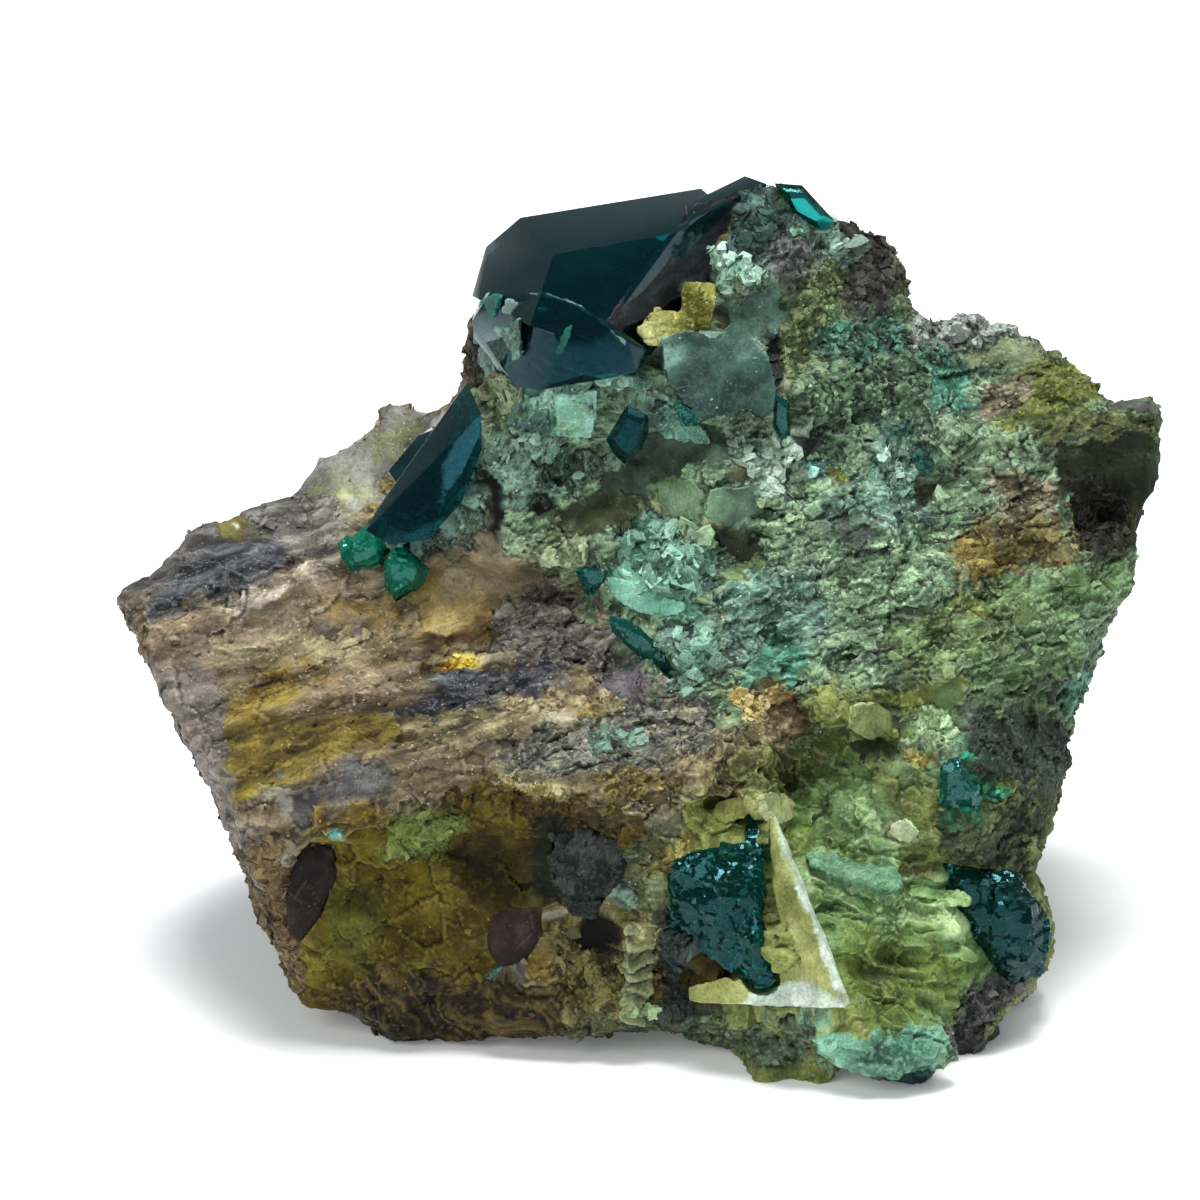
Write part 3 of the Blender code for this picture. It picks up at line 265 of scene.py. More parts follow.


# Thin plates and lobes of crust that stand on the surface, and a few thin sheets of painted shade,
# sheen and highlight: the piece's name, its finish, how far its face stands out, its thickness,
# and its outline as seen.
SHEETS = [
    ("left_foot_plate", "plate_grey", 0.25, 0.3, [
        (-8.05, 37.8), (-6.1, 38.5), (-5.85, 36.6), (-6.65, 35.8), (-7.8, 35.3), (-8.45, 36.35)
    ]),
    ("clear_foot_flake", "clear_flake", 0.2, 0.2, [
        (-6.8, 39.55), (-6, 39.3), (-6.45, 38.5), (-7, 38.7)
    ]),
    ("rounded_plate", "round_plate", 0.5, 0.35, [
        (1.05, 37.4), (1.95, 37.85), (3, 37.8), (3.7, 37.5), (4.8, 38.5), (5.4, 37.8), (6.4, 36.55),
        (6.95, 34.9), (6.85, 33.85), (6.2, 33.15), (5.3, 33.85), (4.05, 33.5), (3, 33.6), (2.1, 34.05),
        (1.2, 35.3), (1.05, 36.35)
    ]),
    ("pale_square", "pale_square", 0.1, 0.3, [
        (-4.4, 34.75), (-2, 34.9), (-2.1, 33.5), (-2.35, 32.4), (-4.3, 32.4)
    ]),
    ("left_pale_plate", "plate_grey", 0.1, 0.3, [
        (-6.2, 34.75), (-4.6, 34.75), (-4.4, 32.6), (-5.95, 32.25), (-6.8, 33.15)
    ]),
    ("right_pale_plate", "plate_grey", 0.1, 0.3, [
        (0.7, 34.55), (1.55, 34.05), (3.35, 32.95), (3.7, 32.05), (1.2, 32.25), (0.5, 33.5)
    ]),
    ("smooth_turquoise", "pale_turquoise", 0.15, 0.25, [
        (-1.9, 25.65), (-0.35, 25.4), (2.45, 24.15), (1.95, 23.5), (-0.1, 23.6), (-1.4, 24.4)
    ]),
    ("green_glass_plate", "green_glass", 0.3, 0.4, [
        (0.65, 30.25), (2.7, 30.4), (3.2, 29.6), (2.95, 28.2), (1.4, 28.45), (0.9, 29.25)
    ]),
    ("grey_glass_plate", "grey_glass", 0.3, 0.4, [
        (3.45, 30), (5.75, 30.1), (6, 28.7), (4.5, 27.95), (3.2, 28.45)
    ]),
    # A dark sheet of painted shade under the jade plates.
    ("painted_shade_under_plates", "painted_shade_under_plates", 0.05, 0.2, [
        (3.7, 27.95), (5.75, 27.2), (6.25, 26.4), (5, 26.15), (3.95, 26.95)
    ]),
    # The tongue and the ridge are coloured by their folds: painted highlight on the ridges, painted shade
    # in the furrows.
    ("slope_tongue", "tongue", 0.45, 0.6, [
        (8.3, 11.7), (9.45, 11.8), (10.8, 11.35), (12.55, 11.15), (13.25, 10.45), (13, 9.9),
        (12.35, 9.7), (11.25, 10.25), (9.65, 10.45), (8.55, 11.05)
    ]),
    ("slope_ridge", "slope_ridge", 0.3, 0.45, [
        (13.45, 10.25), (15.25, 10), (16.6, 9.55), (16.5, 9.1), (14.8, 9.25), (13.25, 9.55)
    ]),
    ("plate_lobe", "lobe", 0.4, 0.5, [
        (6.05, 14.75), (7.2, 14.85), (7.85, 14.3), (7.75, 13.3), (6.95, 13.05), (6.3, 13.85)
    ]),
    ("left_lobe", "lobe_dark", 0.3, 0.45, [
        (3.8, 14.4), (5.15, 14.5), (5.6, 13.95), (5.4, 13.4), (4.25, 12.95), (3.35, 13.6)
    ]),
    ("pale_chip", "beige_chip", 0.3, 0.35, [
        (12.35, 13.15), (13.25, 13.6), (13.9, 12.95), (14.05, 12.5), (13.45, 12.05), (12.8, 12.15),
        (12.35, 12.6)
    ]),
    ("upper_block", "lobe", 0.3, 0.5, [
        (10.5, 19.1), (12, 19.35), (12.75, 18.75), (12.65, 17.6), (11.4, 17.25), (10.3, 17.95)
    ]),
    # Painted reflection: a thin dark grey sheet on the crown's side face stands for its grey sheen.
    ("painted_sheen_side", "painted_grey_sheen", 0.03, 0.12, [
        (-1.9, 38.05), (-0.8, 39.7), (0.25, 41.25), (1.3, 42.55), (2.5, 44.05), (4.9, 44.95),
        (5.4, 44.05), (4.6, 42.55), (4.1, 41.15), (3.3, 39.95), (2, 39.35), (1.2, 38.85), (0, 38.15),
        (-1.4, 37.65)
    ]),
    # Painted highlight: a thin light line along the curved edge of the crown's foot.
    ("foot_rim_highlight", "painted_rim_highlight", 0.06, 0.1, [
        (-5.8, 39.9), (-4.65, 39.75), (-3.45, 39.45), (-2.3, 38.85), (-1.4, 38.05), (-0.5, 37.2),
        (-0.75, 37), (-1.65, 37.75), (-2.55, 38.5), (-3.6, 39.1), (-4.75, 39.4), (-5.8, 39.6)
    ]),
    # Painted highlight: a bright teal streak in the crown's foot.
    ("foot_glow", "painted_teal_glint", 0.05, 0.08, [
        (-3.3, 38.25), (-3.5, 37.25), (-3.9, 36.45), (-4.5, 36.55), (-4.1, 37.35), (-3.8, 37.95)
    ]),
    # Painted glint: bright teal where light passes through the left crystal's end.
    ("left_glow", "painted_teal_glint", 0.05, 0.15, [
        (-8, 39.45), (-6.9, 39.85), (-7.1, 38.85), (-7.4, 37.85), (-8.3, 36.95), (-8.5, 37.85)
    ]),
    ("foot_crust_left", "foot_crumble", 0.15, 0.3, [
        (-6.3, 34.15), (-5, 34.85), (-4, 35.3), (-2.8, 35.4), (-2.2, 35.2), (-3.25, 34.35),
        (-4.6, 33.45), (-6, 33.35)
    ]),
    ("foot_crust_right", "foot_crumble", 0.15, 0.3, [
        (-2.4, 35.5), (-1.6, 35.7), (-0.2, 35.65), (1.2, 35.5), (0.5, 34.75), (-1, 34.55), (-2.2, 35)
    ]),
    # The ribbed crust's light rims and dark roots are painted highlight and shade.
    ("ribbed_crust", "ribbed", 0.25, 0.4, [
        (-0.8, 8.1), (0.85, 8.3), (0.75, 6.75), (0.55, 4.3), (0.2, 2.95), (-1.05, 3.4), (-0.6, 5.6)
    ]),
]

# The standing plate is yellow-green, and white along its lower and right edges.
PLATE_PATCHES = [
    ("plate_edge", 0.15, [(2.5, 3.2), (6.5, 4.9), (8.2, 5.4), (10.8, 4.0), (10.6, 2.9), (5.0, 2.9)]),
    ("plate_edge", 0.1, [(6.2, 14.4), (6.8, 14.6), (9.2, 8.3), (10.9, 4.2), (10.0, 4.6)]),
]

# The duller pieces: each one's finish, the patches on it, how rough it is and how far its mesh is
# softened first.
DULL_PIECES = {
    "left_lens": ("lens", [], 0.5, 4),
    "middle_lens": ("lens", [], 0.5, 4),
    "grey_lens": ("dark_crumbs", [], 0.9, 6),
    "ochre_crust": ("ochre_cube", [], 0.5, 1),
    "standing_plate": ("plate_sheet", PLATE_PATCHES, 0.5, 1),
}

# Each kind of dioptase has the colour that light takes on inside it and how fast, the tint of its
# gleam, its roughness, the colour of its cloudy part and how clear it is.
DIOPTASE_IOR = 1.6
DIOPTASES = {
    "dioptase": ("00e2e0", 800.0, "4c96ac", 0.06, "3c8c98", 0.975),
    "broken dioptase": ("00e4e0", 800.0, "68b4bc", 0.08, "4cb0b0", 0.985),
    "small dioptase": ("00e4d8", 650.0, "a0e0e0", 0.1, "3cbcac", 0.93),
    "thin dioptase": ("00f4d8", 420.0, "a0e8d8", 0.12, "1cb494", 0.82),
}

# The crystals with whole faces: each one's kind of dioptase, and how wide its edges are worn.
WHOLE_CRYSTALS = {
    "crown_dioptase": ("dioptase", 0.05),
    "left_dioptase": ("dioptase", 0.05),
    "inset_dioptase": ("dioptase", 0.05),
    "summit_dioptase": ("broken dioptase", 0.04),
    "plate_edge_dioptase": ("small dioptase", 0.04),
}

# The crystals that are broken into small facets: each one's kind of dioptase, and how rough it is.
BROKEN_CRYSTALS = {
    "front_dioptase": ("broken dioptase", 0.8),
    "lower_right_dioptase": ("broken dioptase", 0.8),
    "side_dioptase": ("small dioptase", 0.45),
    "wedge_dioptase": ("small dioptase", 0.45),
    "crease_dioptase": ("small dioptase", 0.45),
    "lower_crease_dioptase": ("small dioptase", 0.45),
    "emerald_pair": ("thin dioptase", 0.7),
    "emerald_foot": ("thin dioptase", 0.7),
}

# Where each finish lies on the best side, in the order that it is laid: the finish, how soft the
# patch's edge is, and its outline as seen, across and up.
PATCHES = [
    # Broad grounds.
    ("sea_green", 1, [
        (-7, 26), (-8, 34), (0, 38), (8, 39.5), (18, 38), (26, 34), (25.5, 26), (23, 19), (14, 16.5),
        (6, 18), (0.5, 20), (-4, 24)
    ]),
    ("drab", 0.8, [
        (-27, 25), (-17, 28), (-4, 26), (1, 19.5), (5, 17), (2, 14), (-7, 14), (-17, 14), (-22, 19)
    ]),
    ("moss_slope", 1, [(2, 14), (6, 18), (14, 17), (22, 15), (21, 4), (14, -1), (2, 1)]),
    # The quartz ridge and the slab's striped top, on the left.
    ("quartz", 0.5, [
        (-17.4, 30), (-16.3, 31.4), (-14.6, 32.4), (-13.2, 33.4), (-13.1, 34.4), (-12, 34.5),
        (-10.7, 33.6), (-9.5, 34), (-9.2, 32.4), (-12.2, 30.9), (-13.6, 28.4), (-15.5, 27.9),
        (-17.8, 28.1)
    ]),
    ("green_quartz", 0.6, [(-13.5, 32.9), (-12, 33.1), (-10.8, 32.5), (-12, 31.9), (-13.4, 32)]),
    ("green_quartz", 0.6, [(-17, 29.4), (-14.5, 30.4), (-13.4, 29.4), (-15, 28.4), (-17, 28.4)]),
    ("violet_quartz", 0.3, [
        (-26.5, 24.8), (-24.3, 26.4), (-21, 28.6), (-17.6, 29.9), (-17, 27.4), (-18.9, 26.9),
        (-22, 26.4), (-24.5, 24.9), (-25.2, 23.4)
    ]),
    ("grey_streaks", 0.3, [
        (-19.4, 27.9), (-17.6, 29.6), (-14.9, 29.1), (-14.4, 28.4), (-14.9, 27.1), (-15.2, 26.1),
        (-17, 25.8), (-18.2, 27.1)
    ]),
    ("olive_spot", 0.25, oval(-20.3, 28, 0.95, 0.6)),
    ("chalk", 0.1, oval(-20.2, 28, 0.15, 0.15)),
    ("charcoal", 0.25, [
        (-24.9, 24.2), (-23, 26), (-21, 27.1), (-18.4, 27.4), (-17.4, 26.8), (-17.6, 25.9),
        (-20.3, 24.6), (-22.3, 24.1), (-24.5, 23.2)
    ]),
    ("taupe", 0.4, [
        (-26.4, 24.9), (-24.8, 24.4), (-24.4, 23.4), (-20, 24.4), (-17, 25.6), (-15, 26.2),
        (-13.4, 25.7), (-12.2, 24.2), (-14.7, 22.4), (-17.6, 21.9), (-20.3, 21.2), (-23.5, 21.1),
        (-24.5, 21.9)
    ]),
    ("cream", 0.3, [
        (-20.8, 24.1), (-19.2, 24.8), (-16.8, 25.6), (-15.9, 25.9), (-16.5, 25.1), (-18.9, 24.2),
        (-20.6, 23.6)
    ]),
    ("amber", 0.5, [
        (-17, 22.4), (-15.2, 24.4), (-12.2, 24.2), (-11.4, 23.9), (-14, 21.9), (-15.9, 21.6)
    ]),
    ("amber", 0.35, [
        (-11.3, 25.6), (-10, 26.4), (-7, 26.4), (-6, 24.4), (-7.6, 23.3), (-10.5, 21.9), (-11.2, 22.4)
    ]),
    ("brown_peak", 0.35, [
        (-10.5, 26.1), (-7.5, 27.6), (-5.5, 26.6), (-4.6, 24.9), (-6.7, 24.1), (-8.5, 25.1),
        (-10, 24.9)
    ]),
    ("umber", 0.3, [(-11, 22.4), (-6.8, 24.1), (-6, 23.8), (-7.8, 22.1), (-10.6, 21.2)]),
    ("pale_sand", 0.35, [
        (-20.7, 21.9), (-17.6, 22.1), (-14.5, 22.8), (-11.2, 22.4), (-13, 21.4), (-17.1, 20.9),
        (-20.4, 21.1)
    ]),
    ("drab", 0.4, [
        (-21.4, 20.9), (-17, 20.9), (-12, 21.9), (-10.5, 21.6), (-10.4, 19.9), (-12, 19.1),
        (-15.5, 18.8), (-17, 19.4), (-19.5, 19.9), (-20.8, 17.9), (-21.4, 19.4)
    ]),
    ("ochre", 0.45, [
        (-20.7, 17.9), (-20.2, 19.6), (-18.6, 20.5), (-16.8, 20.9), (-15, 20.4), (-17.1, 19.4),
        (-18.6, 18.2), (-19.8, 17.4)
    ]),
    ("taupe", 0.4, [
        (-16.8, 19.9), (-14.5, 20.6), (-10.8, 20.9), (-10.5, 20.1), (-13, 19.4), (-16.4, 19.1)
    ]),
    ("mustard", 0.4, [
        (-20.7, 17.4), (-18.5, 18.2), (-15.5, 18.2), (-12, 18.8), (-9.7, 18.8), (-11, 17.1),
        (-14, 16.6), (-15.5, 16.2), (-18.4, 15.2), (-20.2, 14.3)
    ]),
    ("yellow_line", 0.15, [
        (-19.5, 14.8), (-18.4, 15.2), (-15.6, 16.2), (-14.2, 16.8), (-14.5, 16.4), (-17, 15.4),
        (-18.9, 14.7)
    ]),
    ("slate_lens", 0.3, [
        (-17.5, 13.8), (-16.3, 14.8), (-14.3, 16.1), (-12, 16.9), (-9.6, 16.9), (-10, 15.9),
        (-12, 15.3), (-15.3, 14.2), (-16.9, 13.4)
    ]),
    ("pale_sand", 0.3, oval(-9.1, 21.1, 1.35, 0.75)),
    ("sulphur", 0.2, [(-10.1, 20.5), (-9.7, 21.4), (-8.4, 21.6), (-8, 21.1), (-9.1, 20.5)]),
    ("rust_spot", 0.2, oval(-9.6, 20.9, 0.4, 0.35)),
    ("charcoal", 0.3, [
        (-12.5, 18.8), (-11, 19.8), (-9.4, 20.7), (-6.8, 21.1), (-3.4, 21.6), (-3.9, 20.6),
        (-5.5, 19.6), (-7.2, 19.1), (-9.7, 18.4), (-12, 18.2)
    ]),
    ("dark_shale", 0.35, [
        (-7, 24.1), (-4.1, 25.1), (-2.4, 23.2), (-1.3, 22.2), (-0.3, 21.6), (0.6, 20.1), (-1, 18.9),
        (-2, 19.4), (-2.6, 21.1), (-4.6, 21.4), (-6.8, 21.4), (-8.5, 21.9), (-7.8, 22.4)
    ]),
    ("violet_shale", 0.4, [(-2, 20.4), (-0.4, 21.1), (0.6, 19.9), (-0.9, 19.1)]),
    ("sugared_tan", 0.4, [(-7, 19.1), (-4.9, 20.1), (-2, 19.9), (-1, 18.9), (-4, 18.2), (-7, 18.2)]),
    ("pale_sand", 0.25, [
        (-11, 18.2), (-7.2, 18.9), (-4, 18.6), (-4, 18.1), (-8, 17.6), (-12, 16.8), (-12, 17.9)
    ]),
    ("ochre", 0.25, [(-3.1, 18.8), (-0.1, 19.1), (0, 18.6), (-2.5, 18.1), (-4, 18.1)]),
    ("chalk", 0.15, [(-4.8, 18.6), (-3.2, 18.6), (-3.4, 18.2), (-4.6, 18.2)]),
    ("drab", 0.4, [(-14, 16.6), (-10, 17.6), (-7, 17.6), (-8, 16.1), (-9.5, 15.6), (-12, 15.3)]),
    ("striped_grey", 0.4, [
        (-7.8, 16.1), (-3.4, 18.1), (0.5, 19.5), (3, 19.4), (4.3, 18.6), (4, 16.5), (0.5, 16.1),
        (-3.4, 15.7), (-6.2, 15.3)
    ]),
    ("green_crumbs", 0.35, oval(-1.2, 17.2, 1.3, 0.55)),
    ("pale_crumbs", 0.25, [
        (-7.5, 15.8), (-5.5, 15.2), (-3.1, 14.9), (-2, 15.2), (-2.5, 14.3), (-5, 14.6), (-7.2, 15.1)
    ]),
    ("rust", 0.35, [(-2.2, 15.2), (0, 15.8), (1.8, 15.4), (1.2, 14.4), (-1.5, 14.3)]),
    ("tan", 0.45, [(4.5, 19.9), (7.5, 19.9), (8.2, 19.5), (7.5, 18.6), (5.8, 18.4), (4.8, 19.1)]),
    ("umber", 0.35, [(6, 19.2), (8, 19.4), (8.6, 18.8), (7.8, 17.6), (6.3, 17.7)]),
    ("streaky_brown", 0.45, [
        (2.5, 15.8), (4.3, 18.1), (6, 18.4), (7.6, 17.9), (6.5, 15.9), (4.8, 14.3), (2.5, 13.8),
        (0, 13.8), (-1, 14.3), (1, 14.8)
    ]),
    # The slab's left side and the front face under it.
    ("side_brown", 0.4, [
        (-24.5, 21.6), (-21.4, 20.9), (-20.7, 17.9), (-20.2, 14.3), (-19.5, 14.3), (-18, 12.6),
        (-17.2, 10.7), (-16.8, 7.2), (-16.8, 4.9), (-17.6, 5.1), (-20.2, 11.8), (-23, 17.9)
    ]),
    ("tan_side", 0.45, [
        (-20, 12.3), (-18, 12.6), (-17, 10.3), (-16.8, 7.1), (-16.7, 4.8), (-17.8, 5.6), (-19.2, 9.3)
    ]),
    ("drab", 0.4, [
        (-20.2, 14.3), (-18.9, 14.3), (-17.5, 13.6), (-16.9, 12.3), (-18, 11.8), (-19.2, 12.8)
    ]),
    ("olive_clay", 0.45, [
        (-17, 12.1), (-12.4, 14.2), (-7.7, 14.8), (-5, 13.3), (-4.8, 9.3), (-4.5, 8.1), (-7.7, 5.5),
        (-13.1, 5.2), (-15.2, 4.5), (-16.7, 4.8), (-16.8, 7.1), (-17.2, 10.3)
    ]),
    ("brown_clay", 0.7, [(-10, 12.1), (-7, 12.8), (-5.2, 11.8), (-5, 9.3), (-7, 8.3), (-9.5, 9.8)]),
    ("olive_glaze", 0.7, oval(-9.1, 8.1, 1.8, 1.7)),
    ("green_clay", 0.8, oval(-14.4, 7.8, 1.3, 2)),
    ("apple_green", 0.45, [
        (-12.4, 13.2), (-11.7, 14.3), (-9.9, 14), (-9.2, 12.8), (-9.9, 11.4), (-11.8, 11.3),
        (-12.8, 12.1)
    ]),
    ("ochre", 0.35, [
        (-17, 12.8), (-15.8, 13.9), (-14.5, 13.8), (-13, 14.1), (-13.4, 13.1), (-15.5, 12.8)
    ]),
    ("turquoise", 0.15, oval(-15.2, 12.9, 0.45, 0.25)),
    # Painted shade under the slab's lip.
    ("painted_shade_under_lip", 0.5, [
        (-10, 14.8), (-7.7, 15.1), (-4, 14.3), (0, 13.6), (1, 12.3), (-2, 11.8), (-4.8, 12.6),
        (-6, 13.2), (-9.5, 14.1)
    ]),
    ("teal_clay", 0.35, oval(-3.9, 11.2, 1.7, 2.1)),
    ("fibres", 0.4, [
        (-15, 5.1), (-14.3, 5.2), (-10.8, 6.2), (-7.7, 5.3), (-5, 5.1), (-2.5, 4.6), (-2.9, 3),
        (-6, 1.9), (-8.4, 1.9), (-11.8, 2.2), (-13.4, 2.9)
    ]),
    ("step_tan", 0.4, [
        (-4.8, 7.5), (-3.2, 8.3), (-0.8, 8.6), (1, 8.1), (1, 5.1), (0.5, 2.9), (-2.9, 2.9), (-4, 4.6)
    ]),
    # Painted shade in the hole in the front face.
    ("painted_hole_shade", 0.2, oval(-2.1, 7.5, 1.05, 0.9)),
    ("plate_cream", 0.2, oval(0.2, 7, 0.85, 1.25)),
    ("pale_plates", 0.25, oval(0.1, 3.8, 0.75, 0.7)),
    ("turquoise", 0.1, [(-7.8, 5.5), (-6.8, 6), (-6.8, 5.7), (-7.5, 5.3)]),
    ("yellow_flakes", 0.25, [
        (0.5, 11.8), (1.6, 12.2), (2.5, 12.6), (2.3, 11.3), (1.1, 10.3), (0.5, 10.7)
    ]),
    ("green_crumbs", 0.3, oval(-0.7, 9.6, 0.8, 0.6)),
    # The foot, the lip and the blue-grey rock round the front crystal.
    ("foot_green", 0.4, [
        (-4, 2.4), (-2.9, 3.1), (1, 3.4), (7.8, 3.2), (9, 1.7), (7, 0.8), (5.2, 1.8), (2.4, 2.4)
    ]),
    ("dark_slate", 0.4, [(0.8, 9.3), (2.1, 8.7), (4.3, 6.2), (5, 5.1), (3, 3.2), (1, 3.4)]),
    ("brown_clay", 0.3, oval(3.3, 5.2, 1.4, 1.2)),
    ("curl_yellow", 0.3, [(5, 14.3), (5.9, 14.7), (7.8, 14.6), (8, 13.2), (6.5, 12.8), (5.2, 13.2)]),
    ("curl_yellow", 0.4, [(2.1, 14.3), (4.3, 14.6), (5.2, 13.5), (4.3, 11.8), (2.5, 12.1)]),
    ("moss_slope", 0.4, [(4.8, 14.3), (6.6, 16.6), (8.8, 17.1), (8.6, 16), (7, 14.6)]),
    ("moss_slope", 0.45, [
        (3, 14.6), (4.8, 16.4), (8, 17.6), (10.8, 17.9), (10.5, 17.1), (8.5, 16.8), (6.6, 16.2)
    ]),
    # The pale green face and its crust, at the lower right.
    ("green_face", 0.5, [
        (6.3, 12.3), (6.6, 12.9), (7.6, 14.8), (8.6, 16), (10.2, 16.9), (11.4, 15.3), (12.9, 13.8),
        (14.8, 11.8), (15.8, 10.4), (18.4, 7.5), (19.5, 5.8), (17, 5.2), (15.8, 3.4), (14.8, 2.9),
        (13.3, 2.6), (11.7, 2.4), (10.5, 4), (8.8, 6.6), (7, 10.4)
    ]),
    # Light mint on the green face: partly its own colour, partly painted highlight along its ridges.
    ("face_mint", 0.7, [
        (8.8, 14.6), (10.5, 15.3), (12.2, 13.6), (13.8, 11.3), (12.5, 10.8), (10.5, 12.8)
    ]),
    ("face_mint", 0.7, [
        (8, 11.8), (11, 10.9), (14, 10.3), (16.8, 9.1), (17.2, 7.3), (13, 8.3), (9, 9.6)
    ]),
    ("face_olive", 0.7, [(9, 6.6), (11.7, 8.1), (16.4, 6.1), (15.5, 3.9), (11.7, 2.9), (10.5, 4.1)]),
    ("face_olive", 0.6, [(6.8, 12.8), (8, 13.3), (9, 11.8), (8, 11.3), (7.5, 10.3)]),
    # Painted highlights: light mint along three ridges of the green face.
    ("bright_mint", 0.25, oval(12, 10.5, 1.3, 0.45)),
    ("face_mint", 0.25, oval(9.6, 11.2, 1.3, 0.4)),
    ("face_mint", 0.25, oval(14.8, 9.7, 1.7, 0.45)),
    ("chalk_green", 0.1, [(12.2, 13.1), (12.8, 13.7), (14.1, 12.3), (13.8, 11.9), (12.3, 12.3)]),
    ("moss_slope", 0.2, [(13.1, 11.8), (14.8, 12.3), (14.6, 10.4), (13.3, 10.6)]),
    ("foot_crust", 0.4, [
        (7.8, 3.2), (10, 2.5), (11.5, 2.5), (13.7, 3), (15.2, 2.9), (15.6, 1.7), (15.8, 0.8),
        (14.1, -0.1), (12.8, 0.1), (10.8, 0.3), (8.8, 1.9)
    ]),
    ("foot_teal", 0.25, [(12, 0.5), (15.8, 1.2), (15.9, 0.6), (14.1, -0.2), (12.5, -0.1)]),
    ("gnarled", 0.25, [
        (16.2, 5.1), (19.4, 5.6), (19.8, 4.7), (17.9, 3.4), (17.1, 1.1), (15.8, 0.6), (15.4, 2.9)
    ]),
    # The right side and the ledge above the green face.
    ("slate_mass", 0.45, [
        (15.8, 18.6), (17.1, 19.1), (21.1, 18.4), (22, 16.7), (21.3, 14.8), (18.7, 14.7), (17.6, 15.9),
        (15.8, 17.1)
    ]),
    ("teal_stain", 0.4, [
        (15.2, 17.1), (17.6, 15.9), (18, 14.8), (17.1, 13.8), (15.1, 13.3), (14.2, 15.3)
    ]),
    ("moss_yellow", 0.2, oval(18.1, 15.2, 0.6, 0.4)),
    ("underbrush", 0.45, [
        (14.8, 13.4), (17.1, 13.9), (20.6, 14.8), (20.5, 12.6), (18.8, 10.9), (16.4, 11.2),
        (14.8, 12.2)
    ]),
    ("teal_patch", 0.25, [(20.9, 18.8), (21.5, 20.5), (22.5, 21.4), (22.8, 19.9), (21.8, 18.2)]),
    ("curl_yellow", 0.3, [
        (12.2, 19.4), (13.8, 20.2), (14.8, 20.6), (16.1, 20.6), (15.9, 19.4), (14.5, 19.4), (13, 18.6)
    ]),
    ("jade", 0.25, [(14.3, 19.8), (15.8, 20.6), (16, 17.9), (15.1, 17.9)]),
    ("pale_plates", 0.25, [
        (12.9, 17.4), (13.2, 18.4), (14.4, 19.4), (15.2, 18.8), (15.8, 17.3), (14.8, 17.1),
        (13.2, 17.1)
    ]),
    ("curl_yellow", 0.3, [(10.6, 18.6), (11.9, 19.2), (12.8, 18.2), (12.3, 17.4), (10.6, 17.6)]),
    ("shadow_olive", 0.3, [(10.4, 17.2), (12.5, 17.4), (13.2, 16.7), (11.9, 15.7), (11.1, 16.4)]),
    ("yellow_flakes", 0.15, [(13.2, 17), (14.2, 16.7), (14.2, 16), (13.6, 16.1)]),
    ("jade", 0.3, [(11.8, 16.6), (13.2, 17), (14.1, 15.1), (13.1, 14.8)]),
    ("moss_slope", 0.5, [
        (8.6, 19.9), (10.5, 20.1), (13, 19.9), (12.8, 19.1), (10.8, 18.6), (10.2, 17.6), (8.6, 17.6),
        (8.3, 18.8)
    ]),
    ("leaf", 0.5, [
        (16.8, 22.4), (21, 23.4), (22.5, 22.4), (21.4, 20.6), (21.1, 18.2), (17.1, 18.9), (16, 19.9)
    ]),
    ("slate_mass", 0.45, oval(20.6, 19.9, 0.7, 0.8)),
    ("pale_leaf", 0.45, [
        (12, 22.4), (14.5, 23.9), (17.6, 25.9), (19.1, 25), (18.4, 22.4), (16, 20.8), (13, 20.4)
    ]),
    ("leaf", 0.45, [(19.1, 25), (22.2, 26.6), (25, 26.7), (24.7, 24.9), (23.4, 23.8), (20.1, 23.4)]),
    ("jade", 0.35, [(18.5, 24.9), (19.8, 24.6), (20, 23.1), (18.8, 22.9)]),
    ("moss_yellow", 0.4, oval(16.5, 24.2, 0.9, 0.5)),
    # The crest beside the crown, and the plates and crumbs under it.
    ("crest", 0.35, [
        (4.6, 44.4), (6.3, 45.5), (7.2, 44.5), (8, 43.4), (8.8, 42.9), (7.4, 42), (6.2, 41.8),
        (6.5, 40.2), (4, 40.1), (2.9, 41.7), (4, 42.8)
    ]),
    ("mint_crumbs", 0.35, [(3, 41.9), (4, 42.4), (6.2, 41.2), (6.5, 40.1), (4, 39.9), (3.4, 40.9)]),
    ("pink_grey", 0.3, [
        (6.2, 41.9), (7.7, 42.8), (8.8, 42.5), (9.5, 41.9), (8.8, 41.2), (7.4, 40.1), (6.3, 40.2)
    ]),
    ("mint_crumbs", 0.25, [(7.5, 43.5), (9.8, 43.5), (10.5, 42.8), (8.8, 41.9), (8, 42.5)]),
    # Painted shadow beside the crown.
    ("painted_shadow_by_crown", 0.2, [(1.4, 40), (3.6, 40.5), (3.8, 39.9), (2.5, 39.5)]),
    ("grey_plate", 0.35, [(3.7, 39.6), (7.2, 40), (7.4, 37.8), (5.7, 37.8), (4.5, 38.3)]),
    ("shadow_olive", 0.2, oval(4.3, 38.5, 0.45, 0.5)),
    ("grey_plate", 0.2, [
        (0.9, 37.4), (2, 38), (4, 37.5), (4.8, 38.5), (5.7, 37.8), (6.2, 36.5), (6.2, 34.3),
        (5.5, 33.4), (3.4, 33.4), (2.5, 34.3), (1, 36)
    ]),
    ("dark_slate", 0.2, [(6.2, 38), (7.2, 37.6), (7.6, 33.1), (6.4, 33.1), (6.2, 35.4)]),
    ("chalk_green", 0.07, [(7, 38.2), (7.2, 38.1), (7.7, 33.4), (7.5, 33.4)]),
    ("mint_plate", 0.2, [(-6.1, 34.9), (-4.5, 34.8), (-4.5, 32.5), (-5.6, 32.5)]),
    ("bright_mint", 0.2, [(-4.4, 34.4), (-1.9, 34.4), (-2.4, 32.6), (-4.2, 32.4)]),
